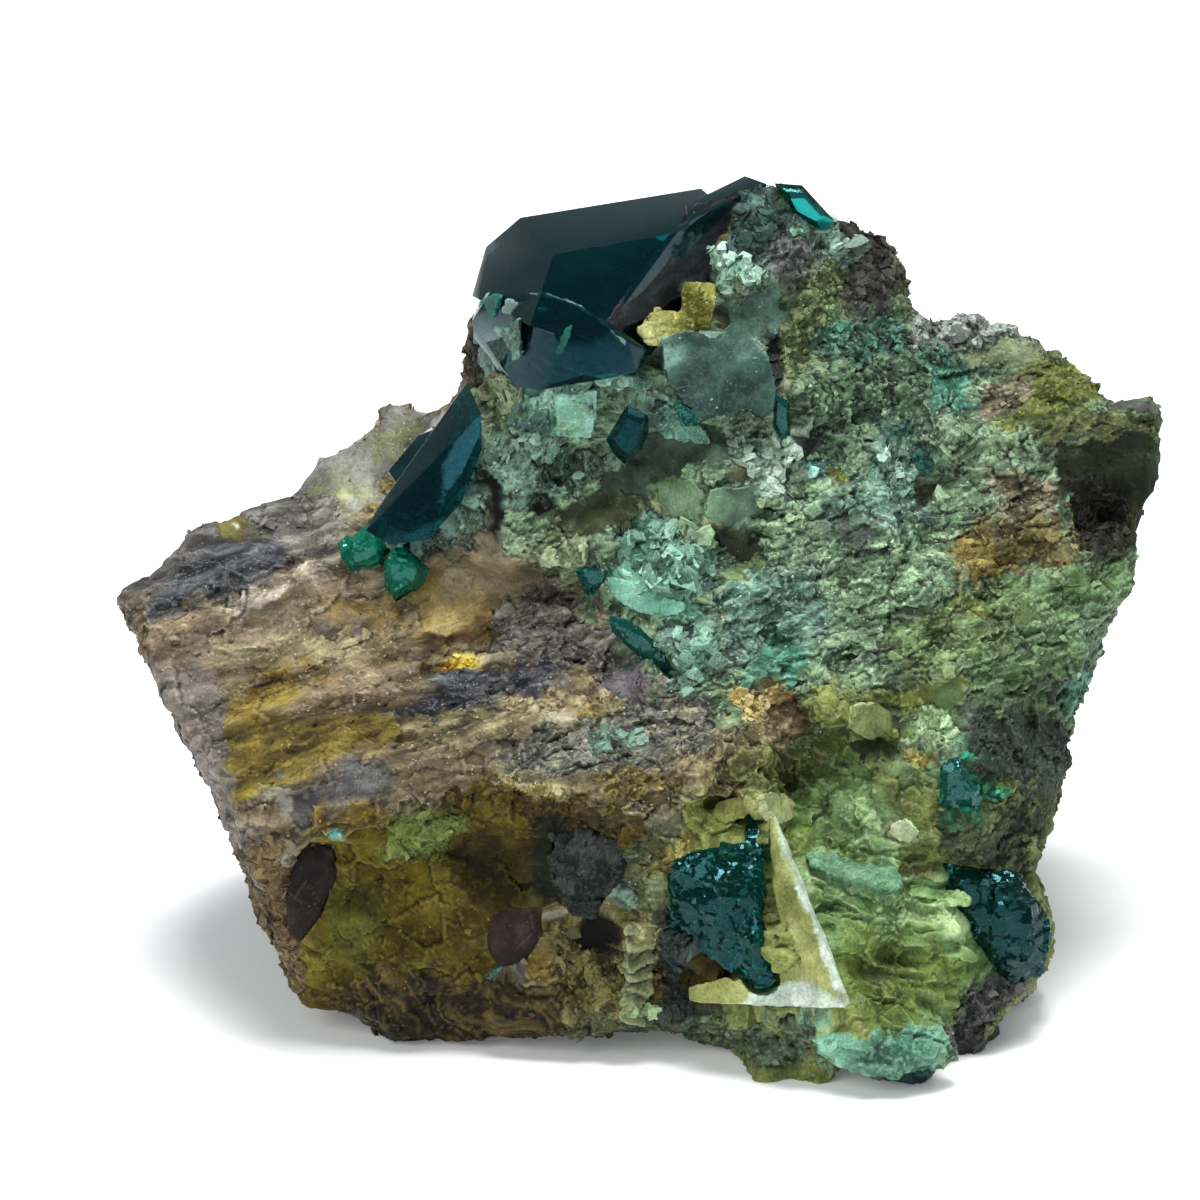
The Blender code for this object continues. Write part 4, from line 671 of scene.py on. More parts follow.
    ("flaky_mint", 0.3, [(-4.5, 34.9), (-1.9, 36), (-1.4, 35.1), (-2, 34.3), (-4.4, 34.3)]),
    ("green_crumbs", 0.4, [
        (-8.1, 32.1), (-5.5, 32.5), (-1.9, 31.6), (-1.2, 30.6), (-2.8, 30.4), (-4.7, 29.4),
        (-6.7, 28.8), (-7.4, 29.9)
    ]),
    ("straw_crumbs", 0.4, [(-8.2, 35.2), (-6.2, 35.6), (-6, 33.4), (-7.5, 32.4), (-8.4, 33.4)]),
    ("green_crumbs", 0.4, [
        (-10, 29.4), (-8, 31.1), (-7, 28.9), (-8.5, 27.1), (-11, 26.4), (-13, 27.1), (-12.5, 28.4)
    ]),
    ("dull_bulge", 0.35, [
        (0.5, 34.3), (3.4, 33), (4.8, 32.5), (4.7, 31.1), (2.5, 30.6), (-0.6, 29.8), (-2, 29.6),
        (-2.5, 30.7), (-0.6, 31.2), (0.6, 33)
    ]),
    ("flaky_mint", 0.35, [(0, 34.9), (2.5, 34.4), (3.2, 33), (1, 33.1)]),
    ("white_crumbs", 0.4, [
        (4.6, 32.5), (6.5, 33.1), (8, 33.2), (8.6, 30.9), (7.5, 29.4), (5, 29.4), (4.4, 30.4)
    ]),
    ("pebble", 0.2, oval(4.9, 30.6, 0.55, 0.55)),
    ("dark_slate", 0.25, oval(8.4, 32.2, 0.7, 0.75)),
    ("turquoise", 0.15, [(8, 31.1), (8.8, 31.4), (9.5, 31.1), (9.1, 30.6), (8.3, 30.8)]),
    ("jade", 0.15, [(0.6, 29.4), (1.1, 30.4), (2, 30.5), (3.1, 29.5), (3, 28.3), (1.6, 28.7)]),
    ("jade_blue", 0.15, [(3.1, 29.5), (5.9, 30), (5.5, 28.1), (4.8, 27.9), (3.2, 27.9)]),
    ("jade_rim", 0.1, [(0.6, 29.4), (1.6, 28.7), (3, 28.3), (3, 28), (1.5, 28.4), (0.5, 29.1)]),
    ("jade_rim", 0.1, [(3, 29.4), (3.3, 28.4), (4.8, 27.9), (4.8, 27.7), (3.1, 27.9), (2.9, 28.6)]),
    # Painted shade under the jade plates.
    ("painted_shade_olive", 0.25, [(3, 27.9), (5, 27.9), (6.5, 26.4), (5.2, 26.6), (3.6, 27.1)]),
    ("lime_glaze", 0.3, [(4.2, 26.2), (5.8, 26.5), (6.2, 25), (4.7, 25.1)]),
    # Painted shade in two crevices beside the crown's foot.
    ("painted_hole_shade", 0.3, [(-7.8, 30.9), (-7, 30.4), (-6.8, 28.9), (-7, 27.4), (-7.8, 27.4), (-7.6, 29.1)]),
    ("painted_hole_shade", 0.25, oval(-5.1, 29.2, 0.4, 0.35)),
    # The turquoise middle.
    ("flaky_mint", 0.25, [
        (-0.9, 26.9), (-0.7, 27.8), (0.5, 28.6), (2.2, 28.1), (3, 27.1), (4.1, 26.4), (3.1, 24.8),
        (1.2, 24.6), (0, 25.6)
    ]),
    ("mint", 0.2, [
        (-1.6, 25.6), (0.2, 25.9), (1.8, 24.6), (2.9, 24.4), (3.2, 23.4), (1.5, 23.5), (0.5, 23.5),
        (-1.1, 24.5)
    ]),
    ("flaky_mint", 0.3, [(1.2, 23.4), (3.2, 23.4), (3.8, 21.4), (2.5, 19.9), (1, 19.9), (1.4, 21.9)]),
    ("blue_streaks", 0.45, [
        (4.1, 25.2), (6.5, 25.9), (9.2, 25.6), (9.5, 23.1), (7.2, 21.4), (5, 20.9), (3.8, 21.9),
        (3.6, 23.9)
    ]),
    ("teal_patch", 0.35, [(6.8, 22.2), (8, 22.1), (7.9, 20.1), (5.2, 20.1), (5.5, 21.1)]),
    ("straw_crumbs", 0.4, [
        (-6, 27.1), (-4, 27.9), (-1.9, 28.2), (-2.5, 27.1), (-3.2, 25.8), (-4, 24.9), (-5, 25.9)
    ]),
    # Painted shade under the crumbs.
    ("painted_shade_olive", 0.5, [(-5, 28.9), (-2, 29.4), (0.5, 29.4), (0, 28.1), (-2, 27.9), (-4.8, 27.6)]),
    ("blue_streaks", 0.5, [
        (10.1, 30.6), (14.1, 30.2), (14, 28.1), (12.3, 27.6), (9.2, 28.4), (8.5, 29.2)
    ]),
    ("grey_sea", 0.4, [(8.9, 28.8), (11.8, 28.4), (11.6, 26.9), (9.7, 27.1)]),
    ("mint_crumbs", 0.35, [(11.7, 31.9), (13.6, 32.3), (14.1, 30.5), (12.8, 29.7), (11.5, 30.6)]),
    ("foot_teal", 0.2, [(11.7, 33), (13.7, 33.2), (13, 32.2), (12, 32.2)]),
    ("foot_teal", 0.2, [(13.4, 31.9), (15.1, 32), (15.3, 31.1), (14.2, 30.5)]),
    ("shadow_olive", 0.25, [(13.6, 28.9), (14.2, 30.4), (15.2, 30.4), (14.5, 29.1)]),
    ("moss_yellow", 0.3, [(9.5, 31.1), (10.5, 30.9), (10.5, 29.9), (9.8, 30.2)]),
    # The sugary face and the slab on the right.
    ("olive_sugar", 0.4, [
        (7.2, 39.9), (8.9, 41.4), (10.3, 41.1), (10.4, 39), (8.9, 37.5), (8.7, 36.2), (7.8, 34.3),
        (7.4, 35.5)
    ]),
    ("teal_sugar", 0.45, [
        (8.8, 37.4), (10.4, 38.9), (12.8, 38.8), (13.6, 37.2), (16.6, 36.5), (16.8, 35.9),
        (14.5, 35.6), (11.8, 36.2), (9.2, 36.5)
    ]),
    ("green_sugar", 0.45, [
        (7.5, 34.1), (9.2, 36.2), (12, 36.5), (15, 36.1), (14.6, 34.8), (13.4, 33.4), (11.5, 33),
        (10.6, 31.1), (8.6, 32.4)
    ]),
    ("top_brown", 0.3, [
        (10.2, 43), (11.3, 43.7), (12.2, 43.4), (12.7, 41.9), (13.1, 39.5), (12.6, 39), (11.1, 38.6),
        (10.3, 39.9), (10.4, 41.2)
    ]),
    ("mint_crumbs", 0.25, [(8.9, 42.5), (11.2, 42.2), (10.9, 41.8), (9.7, 41.2)]),
    ("teal_patch", 0.2, [(14.6, 36), (16.5, 36.1), (16.9, 34.7), (17.4, 34), (14.5, 33.6), (14.7, 35)]),
    ("salt_pepper", 0.3, [
        (13.1, 37.4), (14.2, 38.6), (16.2, 39.2), (18.1, 38.7), (19.7, 37.4), (17.6, 37.3),
        (15.1, 36.9), (13.5, 36.9)
    ]),
    ("pale_olive", 0.3, [
        (15.9, 36.5), (17.6, 37.4), (20.1, 37.3), (21.4, 37), (20.6, 36.2), (16.9, 36)
    ]),
    ("moss_yellow", 0.45, [
        (18.8, 35.9), (21.4, 36.8), (23.2, 35.9), (23.6, 34.6), (21.1, 33.8), (19.1, 32.6),
        (17.2, 32.4), (19.3, 34.1)
    ]),
    ("grey_skin", 0.25, [(23.1, 35.5), (24.9, 34.5), (26, 34.4), (26.1, 33.5), (23.9, 34)]),
    ("drab_streak", 0.35, [(16.8, 34.7), (19.1, 35.4), (19.4, 34.1), (17.6, 33), (16.8, 33.6)]),
    ("olive_brown", 0.45, [
        (19.5, 33.1), (21.1, 34), (26.1, 33.5), (26.1, 32.4), (23, 32.4), (20.1, 32.1)
    ]),
    ("dark_olive", 0.45, [
        (20, 32), (23.8, 32.8), (26.1, 32.8), (25.8, 29.4), (25.3, 26.8), (23.2, 26.6), (23, 29.4),
        (21, 30.6)
    ]),
    ("smoky", 0.3, [
        (21.1, 30.4), (22.4, 31), (23.5, 29.9), (24.2, 29.1), (25, 26.8), (23.6, 26.6), (21.9, 27.1),
        (21.6, 28.5)
    ]),
    ("ochre_streak", 0.45, [
        (16.3, 27.9), (18.2, 28.9), (21, 28.6), (22, 27.4), (22.4, 26.6), (19.1, 25.6), (14.8, 25.4),
        (16.2, 26.7)
    ]),
    ("rust", 0.45, oval(17.1, 26.6, 1.4, 0.6)),
    ("drab_streak", 0.4, [(17.2, 30.4), (19, 30.9), (20.8, 29.9), (21, 28.8), (18.2, 28.8)]),
]


def linear(hex_colour):
    """Turns an sRGB hex colour into linear red, green and blue."""
    parts = [int(hex_colour[k:k + 2], 16) / 255 for k in (0, 2, 4)]
    return [c / 12.92 if c <= 0.04045 else ((c + 0.055) / 1.055) ** 2.4 for c in parts]


def unselect():
    for obj in bpy.context.selected_objects:
        obj.select_set(False)


def pick(obj):
    """Selects one object alone and makes it the active one."""
    unselect()
    obj.select_set(True)
    bpy.context.view_layer.objects.active = obj


def linked(name, data):
    """A new object of this mesh, light or camera, in the scene."""
    obj = bpy.data.objects.new(name, data)
    bpy.context.scene.collection.objects.link(obj)
    return obj


def smoothstep(low, high, values):
    share = np.clip((values - low) / (high - low), 0, 1)
    return share * share * (3 - 2 * share)


def seen(points):
    """How far across and up points are seen, and how near they are, for points in millimetres."""
    offset = points - AIM
    nearness = offset @ TOWARDS
    scale = VIEW_DISTANCE / (VIEW_DISTANCE - nearness)
    across = AIM_ACROSS + scale * (offset @ RIGHT)
    up = AIM_UP + scale * (offset @ UPWARD)
    return across, up, nearness


def lattice(seed, columns):
    """Random values for the corners or cells of a block of 64 by 64 by 64, which repeats."""
    key = (seed, columns)
    if key not in LATTICES:
        LATTICES[key] = np.random.default_rng(seed).random((64 ** 3, columns), dtype=np.float32)
    return LATTICES[key]


def cell_index(x, y, z):
    return ((x & 63) << 12) | ((y & 63) << 6) | (z & 63)


def soft_noise(points, seed):
    """Smooth noise from 0 to 1 with features one unit across."""
    values = lattice(seed, 1)[:, 0]
    base = np.floor(points)
    share = (points - base).astype(np.float32)
    share = share * share * (3 - 2 * share)
    x, y, z = base.astype(np.int32).T
    u, v, w = share.T
    planes = []
    for i in (0, 1):
        low = values[cell_index(x + i, y, z)] * (1 - w) + values[cell_index(x + i, y, z + 1)] * w
        high = values[cell_index(x + i, y + 1, z)] * (1 - w)
        high = high + values[cell_index(x + i, y + 1, z + 1)] * w
        planes.append(low * (1 - v) + high * v)
    return planes[0] * (1 - u) + planes[1] * u


def clouds(points, size, seed, layers=4):
    """Layered noise from about 0 to 1, with features of this size and finer."""
    total = np.zeros(len(points), np.float32)
    weight, spread = 1.0, 0.0
    for layer in range(layers):
        total += weight * (soft_noise(points / size * 2.03 ** layer + 7.7 * layer, seed + layer) - 0.5)
        spread += weight
        weight *= 0.55
    return np.clip(0.5 + 1.9 * total / spread, 0, 1)


def broken_cells(points, size, seed):
    """Each point's random values of its cell, its way from the cell's middle and from the edge."""
    table = lattice(seed, 7)
    scaled = (points / size).astype(np.float32)
    base = np.floor(scaled - 0.5).astype(np.int32)
    nearest = np.full(len(points), 9.0, np.float32)
    second = np.full(len(points), 9.0, np.float32)
    home = np.zeros(len(points), np.int32)
    offset = np.zeros_like(scaled)
    for step in np.ndindex(2, 2, 2):
        cell = base + np.array(step, np.int32)
        index = cell_index(*cell.T)
        away = scaled - cell - 0.08 - 0.84 * table[index, :3]
        distance = np.einsum("ij,ij->i", away, away)
        closer = distance < nearest
        second = np.where(closer, nearest, np.minimum(second, distance))
        nearest = np.where(closer, distance, nearest)
        home[closer] = index[closer]
        offset[closer] = away[closer]
    return table[home, 3:], offset, np.sqrt(second) - np.sqrt(nearest)


def facets(points, size, seed, drop=0.25):
    """A height, in units of size, that tilts and drops differently on each broken facet."""
    values, offset, _ = broken_cells(points, size, seed)
    tilt = 2 * values[:, :3] - 1
    return drop * (values[:, 3] - 0.5) + 0.75 * np.einsum("ij,ij->i", tilt, offset)


def leaning(points, lean, along, across_grain):
    """Coordinates stretched along a direction that leans this much, as seen."""
    direction = math.cos(lean) * RIGHT + math.sin(lean) * UPWARD
    grain = -math.sin(lean) * RIGHT + math.cos(lean) * UPWARD
    parts = [points @ direction / along, points @ grain / across_grain, points @ TOWARDS / along]
    return np.stack(parts, axis=1)


def patterns(points):
    """The patterns that mix a finish's colours, each from 0 to 1."""
    bands = leaning(points, BAND_LEAN, 3.4, 0.55)
    streaks = leaning(points, STREAK_LEAN, 0.95, 0.26)
    slant = leaning(points, SLANT_LEAN, 0.9, 0.24)
    fibre = leaning(swirled(points), FIBRE_LEAN, 2.4, 0.36)
    chip = broken_cells(points, CHIP_SIZE, CHIP_SEED)[0]
    spot = broken_cells(points, 0.42, 95)[0]
    sliver = broken_cells(leaning(points, STREAK_LEAN, 1.7, 0.7), 1.0, 97)[0]
    return {
        "cloud": clouds(points, 2.4, 60, 5),
        "fine": clouds(points, 0.5, 61, 3),
        "bands": 0.8 * clouds(bands, 1.0, 62, 5) + 0.2 * sliver[:, 0],
        "streaks": 0.75 * clouds(streaks, 1.0, 63, 4) + 0.25 * sliver[:, 1],
        "slant": 0.6 * clouds(slant, 1.0, 64, 4) + 0.4 * chip[:, 0],
        "fibre": clouds(fibre, 1.0, 65, 3),
        "sugar": 0.4 * clouds(points, 0.7, 66, 3) + 0.6 * spot[:, 1],
        "chips": 0.7 * chip[:, 1] + 0.3 * clouds(points, 0.6, 67, 3),
        "spots": 0.7 * spot[:, 0] + 0.3 * clouds(points, 0.6, 68, 3),
        # Ribs colour a rib light at its rim and dark at its root: painted highlight and shade.
        "ribs": 0.75 * ribs(points) + 0.25 * clouds(points, 0.5, 67, 3),
        # Folds colour a ridge light and a furrow dark: painted highlight and shade.
        "folds": 0.75 * folds(points) + 0.25 * clouds(points, 0.8, 69, 3),
    }


def swirled(points):
    """Places that are carried round by up to 1.5 mm, for fibres that bend."""
    bends = [clouds(points, 4.0, 72 + k, 2) - 0.5 for k in range(2)]
    return points + 3.0 * (np.outer(bends[0], RIGHT) + np.outer(bends[1], UPWARD))


def ribs(points):
    """Plates that overlap like shingles, from 0 at the root to 1 at the lower rim."""
    part = (1.3 * clouds(points, 1.8, 76, 3) - points @ UPWARD / RIB_HEIGHT) % 1.0
    return np.minimum(part / (1 - RIB_LIP), (1 - part) / RIB_LIP)


def folds(points):
    """Wrinkles that run across the lower slope, from 0 in a furrow to 1 on a ridge."""
    place = leaning(points, FOLD_LEAN, 2.6, 1.15)
    bent = place + 0.9 * (clouds(points, 3.0, 77, 2)[:, None] - 0.5)
    ridge = 1 - np.abs(2 * soft_noise(bent, 78) - 1)
    small = 1 - np.abs(2 * soft_noise(2.3 * bent + 5, 79) - 1)
    return smoothstep(0.15, 1.0, 0.68 * ridge + 0.32 * small)


# How far the material breaks each relief up into ledges, into grit and into flakes along the beds.
BREAKS = {
    "smooth": (0.2, 0.05, 0.0),
    "layered": (0.1, 0.15, 0.9),
    "chippy": (0.75, 0.4, 0.0),
    "streaky": (0.4, 0.3, 0.9),
    "sugary": (0.3, 0.9, 0.0),
    "lumpy": (0.4, 0.05, 0.0),
    "fibrous": (0.2, 0.2, 0.3),
    "blocky": (0.5, 0.05, 0.2),
    "ribbed": (0.2, 0.05, 0.0),
    "earthy": (0.2, 0.2, 0.0),
}
RELIEFS = list(BREAKS)


def inside_share(across, up, corners, feather):
    """How far inside an outline each place lies, from 0 to 1 over the feather on each side."""
    ends = np.array(corners)
    starts = np.roll(ends, 1, axis=0)
    nearest = np.full(len(across), 1e9)
    inside = np.zeros(len(across), bool)
    for (x0, y0), (x1, y1) in zip(starts, ends):
        run, rise = x1 - x0, y1 - y0
        share = np.clip(((across - x0) * run + (up - y0) * rise) / (run * run + rise * rise), 0, 1)
        nearest = np.minimum(nearest, np.hypot(across - x0 - share * run, up - y0 - share * rise))
        if rise:
            crosses = ((y0 > up) != (y1 > up)) & (across < (up - y0) * run / rise + x0)
            inside ^= crosses
    depth = np.where(inside, nearest, -nearest)
    return smoothstep(-feather, feather, depth)


def back_finish(points):
    """Weights of the finishes on the sides that the picture doesn't show."""
    left = smoothstep(5, -7, points[:, 0] + 8 * (clouds(points, 7, 80) - 0.5))
    low = smoothstep(11, 5, points[:, 2] + 8 * (clouds(points, 6, 81) - 0.5))
    stain = smoothstep(0.62, 0.75, clouds(points, 5, 82, 5))
    ochre = smoothstep(0.66, 0.78, clouds(points, 4.4, 83, 5))
    pale = smoothstep(0.66, 0.76, clouds(points, 6, 84, 5))
    return [
        ("leaf", np.ones(len(points))),
        ("olive_brown", smoothstep(0.45, 0.6, clouds(points, 5, 85, 5))),
        ("drab", left),
        ("plain_brown", left * smoothstep(0.4, 0.55, clouds(points, 5.5, 86, 5))),
        ("olive_clay", low * 0.8),
        ("quartz", left * pale),
        ("teal_sugar", stain * (1 - 0.7 * left)),
        ("ochre", ochre * 0.8),
        ("smoky", smoothstep(0.7, 0.78, clouds(points, 4.2, 87, 5)) * 0.9),
    ]


def paint(points, normals, ground, patches):
    """The stone's colour, fleck colour, gleam, flecks and relief at each point, in millimetres."""
    across, up, _ = seen(points)
    front = smoothstep(-0.35, -0.05, normals @ TOWARDS)
    drift = [clouds(points, 1.3, 70 + k, 4) - 0.5 for k in range(2)]
    # Each small chip takes the colour at its middle, so patches end along the edges of chips.
    chip = broken_cells(points, CHIP_SIZE, CHIP_SEED)[1] * CHIP_SIZE
    drift[0] -= CHIP_DRIFT * chip @ RIGHT
    drift[1] -= CHIP_DRIFT * chip @ UPWARD
    mixes = patterns(points)
    colour = np.zeros((len(points), 3))
    fleck = np.zeros((len(points), 3))
    traits = np.zeros((len(points), 2))
    relief = np.zeros((len(points), len(RELIEFS)))

    def lay(finish, weight):
        chosen = np.nonzero(weight > LEAST_WEIGHT)[0]
        if not len(chosen):
            return
        dark, middle, light, pattern, contrast, kind, gleam, flecks = FINISHES[finish]
        dark, middle, light = (np.array(linear(c)) for c in (dark, middle, light))
        share = weight[chosen, None]
        mix = np.clip(0.5 + contrast * (mixes[pattern][chosen] - 0.5), 0, 1)[:, None]
        lower, upper = dark + (middle - dark) * 2 * mix, middle + (light - middle) * (2 * mix - 1)
        own = np.where(mix < 0.5, lower, upper)
        colour[chosen] += share * (own - colour[chosen])
        fleck[chosen] += share * (light - fleck[chosen])
        traits[chosen] += share * (np.array((gleam, flecks)) - traits[chosen])
        relief[chosen] *= 1 - share
        relief[chosen, RELIEFS.index(kind)] += weight[chosen]

    for finish, weight in ground:
        lay(finish, weight)
    for finish, feather, corners in patches:
        wander = PATCH_WANDER * min(1.0, feather / 0.4)
        x, y = across + wander * drift[0], up + wander * drift[1]
        low, high = np.min(corners, axis=0) - feather, np.max(corners, axis=0) + feather
        near = (x > low[0]) & (x < high[0]) & (y > low[1]) & (y < high[1]) & (front > 0)
        weight = np.zeros(len(points))
        weight[near] = front[near] * inside_share(x[near], y[near], corners, feather)
        lay(finish, weight)
    tone = (0.74 + 0.52 * clouds(points, 0.9, 75, 4)) * (0.8 + 0.4 * clouds(points, 4.5, 74, 3))
    return STONE_TONE * (colour * tone[:, None]) ** STONE_DEPTH, fleck, traits, relief


def relief_height(points, relief):
    """How far the fine surface stands out, in millimetres."""
    weight = dict(zip(RELIEFS, relief.T))
    height = 0.3 * (clouds(points, 3.0, 90, 4) - 0.5)
    across_beds = -math.sin(BAND_LEAN) * RIGHT + math.cos(BAND_LEAN) * UPWARD
    bed = points @ across_beds + 2.6 * clouds(points, 6, 91, 4)
    for thickness, step in ((2.2, 0.3), (0.75, 0.07)):
        layer = bed / thickness
        tread = np.floor(layer) + np.clip(6 * (layer % 1.0), 0, 1) - layer
        height += step * tread * weight["layered"]
    coarse, medium = facets(points, 2.1, 93), facets(points, CHIP_SIZE, CHIP_SEED)
    small = facets(points, 0.42, 95)
    sliver = facets(leaning(points, STREAK_LEAN, 1.7, 0.7), 1.0, 97)
    height += (0.03 * sliver + 0.18 * coarse) * weight["layered"]
    height += (0.5 * coarse + 0.24 * medium + 0.04 * small) * weight["chippy"]
    fine_sliver = facets(leaning(points, SLANT_LEAN, 0.9, 0.36), 1.0, 98)
    height += (0.34 * sliver + 0.1 * fine_sliver + 0.3 * coarse) * weight["streaky"]
    grain = broken_cells(points, 0.5, 100)[1]
    round_top = 1 - np.minimum(1, np.linalg.norm(grain, axis=1))
    height += (0.16 * (round_top - 0.5) + 0.26 * medium + 0.05 * small) * weight["sugary"]
    ripple = broken_cells(leaning(points, FOLD_LEAN, 1.0, 0.6), 1.0, 102)[2]
    scale = facets(leaning(points, FOLD_LEAN, 1.7, 0.9), 1.0, 106)
    lump = 0.55 * (folds(points) - 0.5) + 0.1 * np.minimum(ripple, 0.45) + 0.3 * coarse + 0.34 * scale
    height += lump * weight["lumpy"]
    thread = clouds(leaning(swirled(points), FIBRE_LEAN, 2.6, 0.5), 1.0, 103, 3)
    height += (0.4 * (thread - 0.5) + 0.2 * coarse) * weight["fibrous"]
    height += (0.5 * coarse + 0.08 * medium + 0.02 * small) * weight["blocky"]
    height += (0.16 * (clouds(points, 1.2, 104, 4) - 0.5) + 0.05 * coarse) * weight["smooth"]
    height += (0.3 * ribs(points) + 0.2 * medium) * weight["ribbed"]
    swell = clouds(points, 1.6, 107, 4) - 0.5
    height += (0.22 * swell + 0.3 * coarse + 0.1 * medium) * weight["earthy"]
    return height


def sharpness_for_painted_light(mesh, points, normals):
    """How sharply each vertex stands out (above 0) or lies back (below 0), for painted light on it."""
    ends = np.empty(len(mesh.edges) * 2, np.int32)
    mesh.edges.foreach_get("vertices", ends)
    ends = ends.reshape(-1, 2)
    standing = np.einsum("ij,ij->i", points, normals)
    step = points[ends[:, 1]] - points[ends[:, 0]]
    total = np.bincount(ends[:, 0], -np.einsum("ij,ij->i", step, normals[ends[:, 0]]), len(standing))
    total += np.bincount(ends[:, 1], np.einsum("ij,ij->i", step, normals[ends[:, 1]]), len(standing))
    count = np.bincount(ends.ravel(), minlength=len(standing))
    sharp = total / np.maximum(count, 1) / EDGE_SHARP
    return np.clip(sharp, -1, 1)


def coordinates(mesh):
    values = np.empty(len(mesh.vertices) * 3)
    mesh.vertices.foreach_get("co", values)
    return values.reshape(-1, 3)


def vertex_normals(mesh):
    values = np.empty(len(mesh.vertices) * 3, np.float32)
    mesh.vertex_normals.foreach_get("vector", values)
    return values.reshape(-1, 3).astype(float)


def store(mesh, name, colours, extra):
    """Keeps a colour and one more value at each vertex, for the material to read."""
    layer = mesh.attributes.new(name, "FLOAT_COLOR", "POINT")
    layer.data.foreach_set("color", np.hstack([colours, extra[:, None]]).astype(np.float32).ravel())


def apply_modifiers(obj):
    pick(obj)
    for step in list(obj.modifiers):
        bpy.ops.object.modifier_apply(modifier=step.name)


def merged_copy(node, name):
    """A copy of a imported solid, with the corners of its loose triangles joined."""
    obj = linked(name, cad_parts[node].data.copy())
    obj.data.materials.clear()
    pick(obj)
    bpy.ops.object.mode_set(mode="EDIT")
    bpy.ops.mesh.select_all(action="SELECT")
    bpy.ops.mesh.remove_doubles(threshold=1e-6)
    bpy.ops.object.mode_set(mode="OBJECT")
    return obj


def shade(obj, degrees):
    pick(obj)
    bpy.ops.object.shade_smooth_by_angle(angle=math.radians(degrees))


def gaps(points, trees):
    """The distance in millimetres from each point to the nearest crystal, up to CALM_END."""
    distances = np.full(len(points), CALM_END)
    for tree, low, high in trees:
        near = np.nonzero(np.all((points > low - CALM_END) & (points < high + CALM_END), axis=1))[0]
        for k in near:
            found = tree.find_nearest(Vector(points[k] * MM), distances[k] * MM)
            if found[0] is not None:
                distances[k] = found[3] / MM
    return distances


def close_up(points, trees):
    """Moves rock that lies close to a crystal up against it, so that no gap shows."""
    for tree, low, high in trees:
        near = np.nonzero(np.all((points > low - SNAP_END) & (points < high + SNAP_END), axis=1))[0]
        for k in near:
            place = Vector(points[k] * MM)
            hit, normal, _, distance = tree.find_nearest(place, SNAP_END * MM)
            if hit is None:
                continue
            outside = (place - hit).dot(normal) > 0
            share = 1.0
            if outside and distance > SNAP_FULL * MM:
                share = 1 - (distance / MM - SNAP_FULL) / (SNAP_END - SNAP_FULL)
            target = hit - normal * SNAP_DEPTH * MM
            points[k] = np.array(place.lerp(target, share)) / MM
    return points


def crystal_trees():
    """Each crystal's faces in metres, to find the nearest, and its lowest and highest corner."""
    trees = []
    for name in CRYSTALS:
        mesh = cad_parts[name].data
        points = coordinates(mesh)
        faces = [tuple(face.vertices) for face in mesh.polygons]
        tree = BVHTree.FromPolygons([Vector(p) for p in points], faces)
        trees.append((tree, points.min(0) / MM, points.max(0) / MM))
    return trees


def remeshed(obj, voxel, soften):
    """Gives a piece an even fine mesh, and returns its points in millimetres and its normals."""
    step = obj.modifiers.new("fine surface", "REMESH")
    step.mode = "VOXEL"
    step.voxel_size = voxel * MM
    step = obj.modifiers.new("soften", "SMOOTH")
    step.factor = 0.5
    step.iterations = soften
    apply_modifiers(obj)
    return coordinates(obj.data) / MM, vertex_normals(obj.data)


def finish_stone(obj, points, colour, fleck, traits, relief):
    """Puts a stone's mesh in its new shape, and paints highlights on its edges and shade in its creases.
    """
    mesh = obj.data
    points[:, 2] = np.maximum(points[:, 2], STONE_LOWEST)
    mesh.vertices.foreach_set("co", (points * MM).ravel())
    mesh.update()
    edge = sharpness_for_painted_light(mesh, points, vertex_normals(mesh))
    ridge = smoothstep(0.35, 1.0, edge)[:, None]
    lumpy = relief[:, RELIEFS.index("lumpy")]
    # Painted shade: the stone is darkened in its creases, less where it is lumpy.
    colour = colour * (1 + (0.7 - 0.35 * lumpy) * np.minimum(edge, 0))[:, None]
    # Painted highlight: sharp edges are lightened towards the fleck colour.
    colour += 0.4 * ridge * (np.minimum(1, 0.8 * fleck) - colour)
    store(mesh, "stone", colour, traits[:, 0])
    store(mesh, "fleck", fleck, traits[:, 1])
    store(mesh, "break", relief @ np.array([BREAKS[kind] for kind in RELIEFS]), np.ones(len(points)))


def split_off(obj, chosen, name):
    """Makes the chosen faces a piece of their own."""
    mesh = obj.data
    pick(obj)
    bpy.context.tool_settings.mesh_select_mode = (False, False, True)
    bpy.ops.object.mode_set(mode="EDIT")
    bpy.ops.mesh.select_all(action="DESELECT")
    bpy.ops.object.mode_set(mode="OBJECT")
    mesh.polygons.foreach_set("select", chosen)
    bpy.ops.object.mode_set(mode="EDIT")
    bpy.ops.mesh.separate(type="SELECTED")
    bpy.ops.object.mode_set(mode="OBJECT")
    piece = [other for other in bpy.context.selected_objects if other != obj][0]
    piece.name = name
    return piece


def face_centres(mesh):
    values = np.empty(len(mesh.polygons) * 3, np.float32)
    mesh.polygons.foreach_get("center", values)
    return values.reshape(-1, 3).astype(float) / MM


